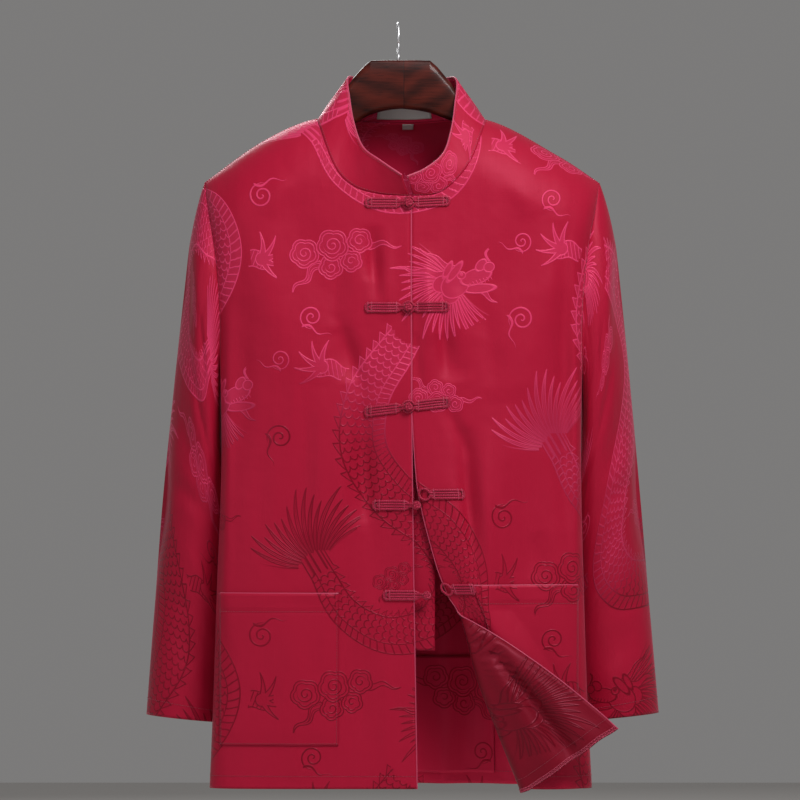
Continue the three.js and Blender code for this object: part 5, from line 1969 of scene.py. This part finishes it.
@dataclass
class Hanger:
    """One shaped wooden arm and its wire hook."""

    sides: int = 48
    squareness: float = 3.6
    wire: float = 1.8
    bend: float = 16.0
    rod_clearance: float = 2.0
    foot_z: float = -40.0
    stem_z: float = -34.0
    bend_from: float = -62.0
    bend_to: float = 205.0
    arm_stations: int = 150
    hook_stations: int = 140
    # Length over which the arm's ends round off
    end_round: float = 4.0

    def arm(self) -> Object:
        """The arm, lofted through its stations."""
        rows = np.array(HANGER_ARM.rows)
        x = np.unique(np.concatenate([np.linspace(rows[0, 0], rows[-1, 0], self.arm_stations), rows[:, 0]]))
        top, bottom, deep = (np.interp(x, rows[:, 0], rows[:, i]) for i in (1, 2, 3))
        bottom = lerp(bottom, HANGER_ARM.at("bottom", x), 0.8)
        end = np.minimum(x - x[0], x[-1] - x)
        ease = np.sqrt(np.clip(end / self.end_round, 0.004, 1.0))[:, None]
        angle = np.linspace(0, 2 * np.pi, self.sides, endpoint=False)[None, :]
        power = 2 / self.squareness
        across = np.sign(np.cos(angle)) * np.abs(np.cos(angle)) ** power * deep[:, None] * ease
        up = np.sign(np.sin(angle)) * np.abs(np.sin(angle)) ** power * (top - bottom)[:, None] / 2 * ease
        middle = (top + bottom)[:, None] / 2
        points = np.stack([np.broadcast_to(x[:, None], up.shape), across, middle + up], axis=2)
        faces = tube_cells(len(x), self.sides)[2]
        return mesh_object("hanger_arm_wood", points.reshape(-1, 3) * MM, faces)

    def hook(self) -> Strands:
        """The hook's wire, from its seat in the arm round the rod."""
        angle = np.radians(np.linspace(self.bend_from, self.bend_to, 17))
        centre = self.rod_clearance - self.bend
        y = np.concatenate([[0.0, 0.0], self.bend * np.cos(angle)])
        z = np.concatenate([[self.foot_z, self.stem_z], centre + self.bend * np.sin(angle)])
        run = np.concatenate([[0.0], np.cumsum(np.hypot(np.diff(y), np.diff(z)))])
        bends = Table(("run", "y", "z"), tuple(zip(run, y, z)))
        at = np.linspace(0, run[-1], self.hook_stations)
        path = np.stack([np.zeros_like(at), bends.at("y", at), bends.at("z", at)], axis=1)
        left = np.clip((run[-1] - at) / self.wire, 0.0, 1.0)
        strands = Strands()
        strands.add(path, self.wire * np.sqrt(np.maximum(1 - (1 - left) ** 2, 0.004)), sides=20)
        return strands

    def build(self, wood: Material, steel: Material) -> None:
        """Builds the arm and the hook."""
        arm = self.arm()
        arm.data.materials.append(wood)
        hook = self.hook().build("hook_wire_round", [steel])
        for piece, node, slot in ((arm, "hanger_arm", "wood"), (hook, "hook", "hook_wire")):
            declare(piece, node)
        LOG.info("hanger and hook")


@dataclass
class Stitches:
    """The sewing that shows: hems, pockets, cuffs, shoulders, collar and the overlocked edge."""

    pitch: float = 3.0
    long: float = 2.3
    wide: float = 0.55
    hem_up: float = 14.0
    inset: float = 2.0
    pocket_hem: float = 20.0
    # How far each line of sewing stands off the cloth's middle
    lift: float = 0.75
    edge_lift: float = 0.8
    collar_lift: float = 1.15
    pocket_lift: float = 2.3
    pocket_hem_lift: float = 3.1
    cuff_at: float = 0.969
    binding_up: float = 4.2
    edge: float = 0.75
    collar_edge: float = 1.1
    slope_step: float = 1e-3
    lines: list[Values] = field(default_factory=list)

    def line(self, surface: Surface, u: Values, v: Values, lift: float) -> None:
        """Adds a line of sewing on a surface, lifted off it on the side that u cross v gives."""
        step = self.slope_step
        along_u = surface(u + step, v) - surface(np.maximum(u - step, u.min()), v)
        along_v = surface(u, np.minimum(v + step, 1.0)) - surface(u, np.maximum(v - step, 0.0))
        normal = unit(np.cross(along_u, along_v))
        self.lines.append(surface(u, v) + normal * lift)

    def fronts(self) -> None:
        """The hems, shoulders and pockets of both fronts."""
        for side in Side:
            surface = FORM.front_surface(side)
            out = -int(side) * self.lift
            across = np.linspace(0.01, 0.995, 160)
            hem = np.full_like(across, row_of(HEM_Z + self.hem_up))
            self.line(surface, across, hem, out)
            if side is Side.RIGHT:
                self.line(surface, across, hem, -out)
            seam = np.linspace(NECK_U + 0.01, 0.99, 60)
            self.line(surface, seam, np.full_like(seam, 0.004), out)
        for side, (inner, outer, top, bottom) in POCKETS.items():
            self.pocket(side, inner, outer, top, bottom)

    def overlock(self) -> None:
        """The zigzag that binds the raw lower edge inside the turned-back front."""
        saw = np.linspace(0.004, 0.99, 150)
        top = row_of(HEM_Z + self.binding_up)
        tooth = top + (1 - top) * 0.9 * (np.arange(len(saw)) % 2)
        surface = FORM.front_surface(Side.RIGHT)
        for v in (tooth, np.full_like(saw, top), np.full_like(saw, 0.998)):
            self.line(surface, saw, v, self.edge_lift)

    def pocket(self, side: Side, inner: float, outer: float, top: float, bottom: float) -> None:
        """The sewn edges and the turned top of a pocket."""
        low, high = min(inner, outer), max(inner, outer)

        def surface(u: Values, v: Values) -> Values:
            """The front under the pocket."""
            return FORM.front_at(side, lerp(low, high, u), lerp(top, bottom, v))

        wide, tall = self.inset / (high - low), self.inset / (top - bottom)
        edge, down = np.linspace(wide, 1 - wide, 60), np.linspace(0.004, 1 - tall, 70)
        for u, v, lift in (
            (np.full_like(down, wide), down, self.pocket_lift),
            (edge, np.full_like(edge, 1 - tall), self.pocket_lift),
            (np.full_like(down, 1 - wide), down, self.pocket_lift),
            (edge, np.full_like(edge, self.pocket_hem / (top - bottom)), self.pocket_hem_lift),
        ):
            self.line(surface, u, v, -lift)

    def back(self) -> None:
        """The hem of the back, seen from both sides."""
        across = np.linspace(-0.99, 0.99, 320)
        hem = np.full_like(across, row_of(HEM_Z + self.hem_up))
        for lift in (self.lift, -self.lift):
            self.line(FORM.back, across, hem, lift)

    def cuffs(self, sleeves: Sleeves) -> None:
        """The cuffs, 18 mm above the sleeve ends."""
        for side in Side:
            angle = np.linspace(0, 2 * np.pi, 200)
            ring = sleeves.point(side, angle, np.full_like(angle, self.cuff_at))
            self.lines.append(ring + unit(ring - ring.mean(axis=0)) * self.edge_lift)

    def collar(self, collar: Collar) -> None:
        """The top and foot of the collar."""
        around = np.linspace(-0.985, 0.985, 300)
        for v in (0.05, 0.95):
            self.line(collar.point, around, np.full_like(around, v), -self.collar_lift)

    def rolled_edges(self, collar: Collar, satin: Material) -> None:
        """The turned edges, in a lighter satin that paints the highlight they catch: closure, collar and
        pocket tops.
        """
        strands = Strands()
        down = np.linspace(0.02, 1, 220)
        for side in Side:
            strands.add(FORM.front_surface(side)(np.zeros_like(down), down), self.edge, sides=6)
        around = np.linspace(-0.992, 0.992, 240)
        strands.add(collar.point(around, np.ones_like(around)), self.collar_edge, sides=8)
        for side, (inner, outer, top, _) in POCKETS.items():
            x = np.linspace(min(inner, outer), max(inner, outer), 50)
            line = FORM.front_at(side, x, np.full_like(x, top))
            strands.add(line - (0.0, 2.4, 0.0), self.edge * 1.2, sides=6)
        piece = strands.build("rolled_edges", [satin])
        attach(piece, "root")
        LOG.info("rolled edges")

    def tree(self) -> NodeTree:
        """The node tree that lays a stitch at each step of the lines."""
        group = bpy.data.node_groups.new("running_stitch", "GeometryNodeTree")
        face = group.interface
        face.new_socket("Lines", in_out="INPUT", socket_type="NodeSocketGeometry")
        for name in ("Pitch", "Long", "Wide"):
            face.new_socket(name, in_out="INPUT", socket_type="NodeSocketFloat")
        face.new_socket("Thread", in_out="INPUT", socket_type="NodeSocketMaterial")
        face.new_socket("Stitches", in_out="OUTPUT", socket_type="NodeSocketGeometry")
        tree = Tree(group)
        sizes = tree.node("NodeGroupInput", None).outputs
        curve = tree.node("GeometryNodeMeshToCurve", None, sizes["Lines"]).outputs[0]
        steps = tree.node("GeometryNodeResampleCurve", {"mode": "LENGTH"})
        tree.fill(steps, {"Curve": curve, "Length": sizes["Pitch"]})
        scale = tree.node("ShaderNodeCombineXYZ", None, sizes["Long"], sizes["Wide"], sizes["Wide"])
        bead = tree.node("GeometryNodeMeshIcoSphere", None, 0.5, 2)
        way = tree.node("FunctionNodeAlignRotationToVector", {"axis": "X"})
        tree.fill(way, {"Vector": tree.node("GeometryNodeInputTangent", None).outputs[0]})
        laid = tree.node("GeometryNodeInstanceOnPoints", None)
        tree.fill(
            laid,
            {
                "Points": steps.outputs[0],
                "Instance": bead.outputs[0],
                "Rotation": way.outputs[0],
                "Scale": scale.outputs[0],
            },
        )
        real = tree.node("GeometryNodeRealizeInstances", None, laid.outputs[0])
        thread = tree.node("GeometryNodeSetMaterial", None, real.outputs[0])
        tree.fill(thread, {"Material": sizes["Thread"]})
        tree.node("NodeGroupOutput", None, thread.outputs[0])
        return group

    def build(self, name: str, thread: Material) -> None:
        """Lays every stitch and joins them in one mesh.

        Args:
            name: the piece's name.
            thread: its material.
        """
        points, edges, count = [], [], 0
        for line in self.lines:
            points.append(line * MM)
            edges.extend((count + i, count + i + 1) for i in range(len(line) - 1))
            count += len(line)
        mesh = bpy.data.meshes.new(name)
        mesh.from_pydata(np.concatenate(points).tolist(), edges, [])
        piece = bpy.data.objects.new(name, mesh)
        bpy.context.scene.collection.objects.link(piece)
        group = self.tree()
        modifier = piece.modifiers.new("running_stitch", "NODES")
        modifier.node_group = group
        sizes = {"Pitch": self.pitch * MM, "Long": self.long * MM, "Wide": self.wide * MM, "Thread": thread}
        for item in group.interface.items_tree:
            if item.name in sizes:
                modifier[item.identifier] = sizes[item.name]
        worked_out = piece.evaluated_get(bpy.context.evaluated_depsgraph_get())
        result = bpy.data.meshes.new_from_object(worked_out)
        piece.modifiers.clear()
        piece.data = result
        result.shade_smooth()
        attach(piece, "root")
        LOG.info("%s: %d triangles", name, sum(len(p.vertices) - 2 for p in result.polygons))


@dataclass
class Studio:
    """Floor, lights and camera."""

    distance: float = 8.0
    frame_width: float = 0.880
    centre: tuple[float, float] = (0.00165, -0.4147)
    plane_y: float = -0.05
    sensor: float = 36.0
    floor_z: float = -1.05
    floor_half: float = 4.0

    def build(self) -> None:
        """Makes the stage, the lights and the camera."""
        corners = ((-1, -1), (1, -1), (1, 1), (-1, 1))
        points = [(x * self.floor_half, y * self.floor_half, self.floor_z) for x, y in corners]
        floor = mesh_object("floor", np.array(points), np.array([[0, 1, 2, 3]]))
        floor.data.materials.append(Plain((0.62, 0.6, 0.58), 0.85).material("pale_floor"))
        world = bpy.data.worlds.new("studio")
        bpy.context.scene.world = world
        world.use_nodes = True
        sky = world.node_tree.nodes["Background"]
        Tree(world.node_tree).fill(sky, {"Color": (1.0, 0.98, 0.97, 1.0), "Strength": 0.2})
        self.lamp("key", (0.72, -1.6, 1.05), (0.03, 0.0, -0.22), 0.8, 34)
        self.lamp("fill", (-1.6, -2.4, 0.2), (0.0, 0.0, -0.45), 1.5, 9)
        self.lamp("behind", (-0.6, 2.6, 0.9), (0.0, 0.1, -0.4), 1.2, 30)
        self.lamp("top", (0.3, -0.6, 1.4), (0.0, 0.0, -0.35), 0.9, 6)
        bpy.context.scene.view_settings.view_transform = "Standard"
        self.camera()

    @staticmethod
    def lamp(
        name: str,
        place: tuple[float, float, float],
        aim: tuple[float, float, float],
        size: float,
        power: float,
    ) -> None:
        """Adds one soft area light."""
        light = bpy.data.lights.new(name, "AREA")
        light.shape, light.size, light.energy = "SQUARE", size, power
        lamp = bpy.data.objects.new(name, light)
        lamp.location = place
        lamp.rotation_euler = (Vector(aim) - Vector(place)).to_track_quat("-Z", "Y").to_euler()
        bpy.context.scene.collection.objects.link(lamp)

    def camera(self) -> None:
        """Adds the camera, level and straight on, framed as the photograph."""
        data = bpy.data.cameras.new("camera")
        data.sensor_fit = "HORIZONTAL"
        data.sensor_width = self.sensor
        data.lens = data.sensor_width * (self.distance + self.plane_y) / self.frame_width
        camera = bpy.data.objects.new("camera", data)
        camera.location = (self.centre[0], -self.distance, self.centre[1])
        camera.rotation_euler = (math.pi / 2, 0, 0)
        bpy.context.scene.collection.objects.link(camera)
        bpy.context.scene.camera = camera


def main() -> None:
    """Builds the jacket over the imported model."""
    logging.basicConfig(level=logging.INFO, format="%(message)s")
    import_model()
    Studio().build()
    cloth = Cloth()
    outside = Jacquard().set("satin")
    wrong_side = Jacquard((0.2, 0.003, 0.013), (0.3, 0.008, 0.03), (0.12, 0.0015, 0.007), sheen=0.1)
    satin = outside + wrong_side.set("satin_inside")
    # The same wrong side painted much lighter, standing in for the light that falls inside the neck; the back
    # and the collar wear it
    back_inside_painted_light = Jacquard((0.66, 0.014, 0.06), (0.8, 0.06, 0.17), (0.36, 0.004, 0.02), sheen=0.1)
    back_satin = outside + back_inside_painted_light.set("satin_back_inside")
    tape = Tape().material("tape")
    thread = Plain((0.3, 0.012, 0.045), 0.5, sheen=0.3).material("thread")
    bright_thread = Plain((0.5, 0.03, 0.09), 0.4, sheen=0.3).material("bright_thread")
    Fronts(cloth).build(satin)
    Back(cloth).build(back_satin)
    sleeves, collar = Sleeves(cloth), Collar(cloth)
    sleeves.build(satin)
    collar.build(back_satin, tape)
    Frogs().build(CordSatin().material("cord_satin"), bright_thread)
    steel = Plain((0.8, 0.8, 0.82), 0.34, 1.0).material("bright_steel")
    Hanger().build(Wood().material("polished_wood"), steel)
    sewing = Stitches()
    sewing.fronts()
    sewing.back()
    sewing.cuffs(sleeves)
    sewing.collar(collar)
    sewing.build("stitches", thread)
    binding = Stitches(pitch=2.0, long=2.2, wide=0.7)
    binding.overlock()
    binding.build("overlock_stitches", bright_thread)
    # The rolled edges get a satin lighter than the cloth, a painted highlight along them
    sewing.rolled_edges(collar, Plain((0.52, 0.03, 0.1), 0.42, sheen=0.3).material("edge_satin_painted_highlight"))
    bpy.context.view_layer.update()


if __name__ == "__main__":
    main()
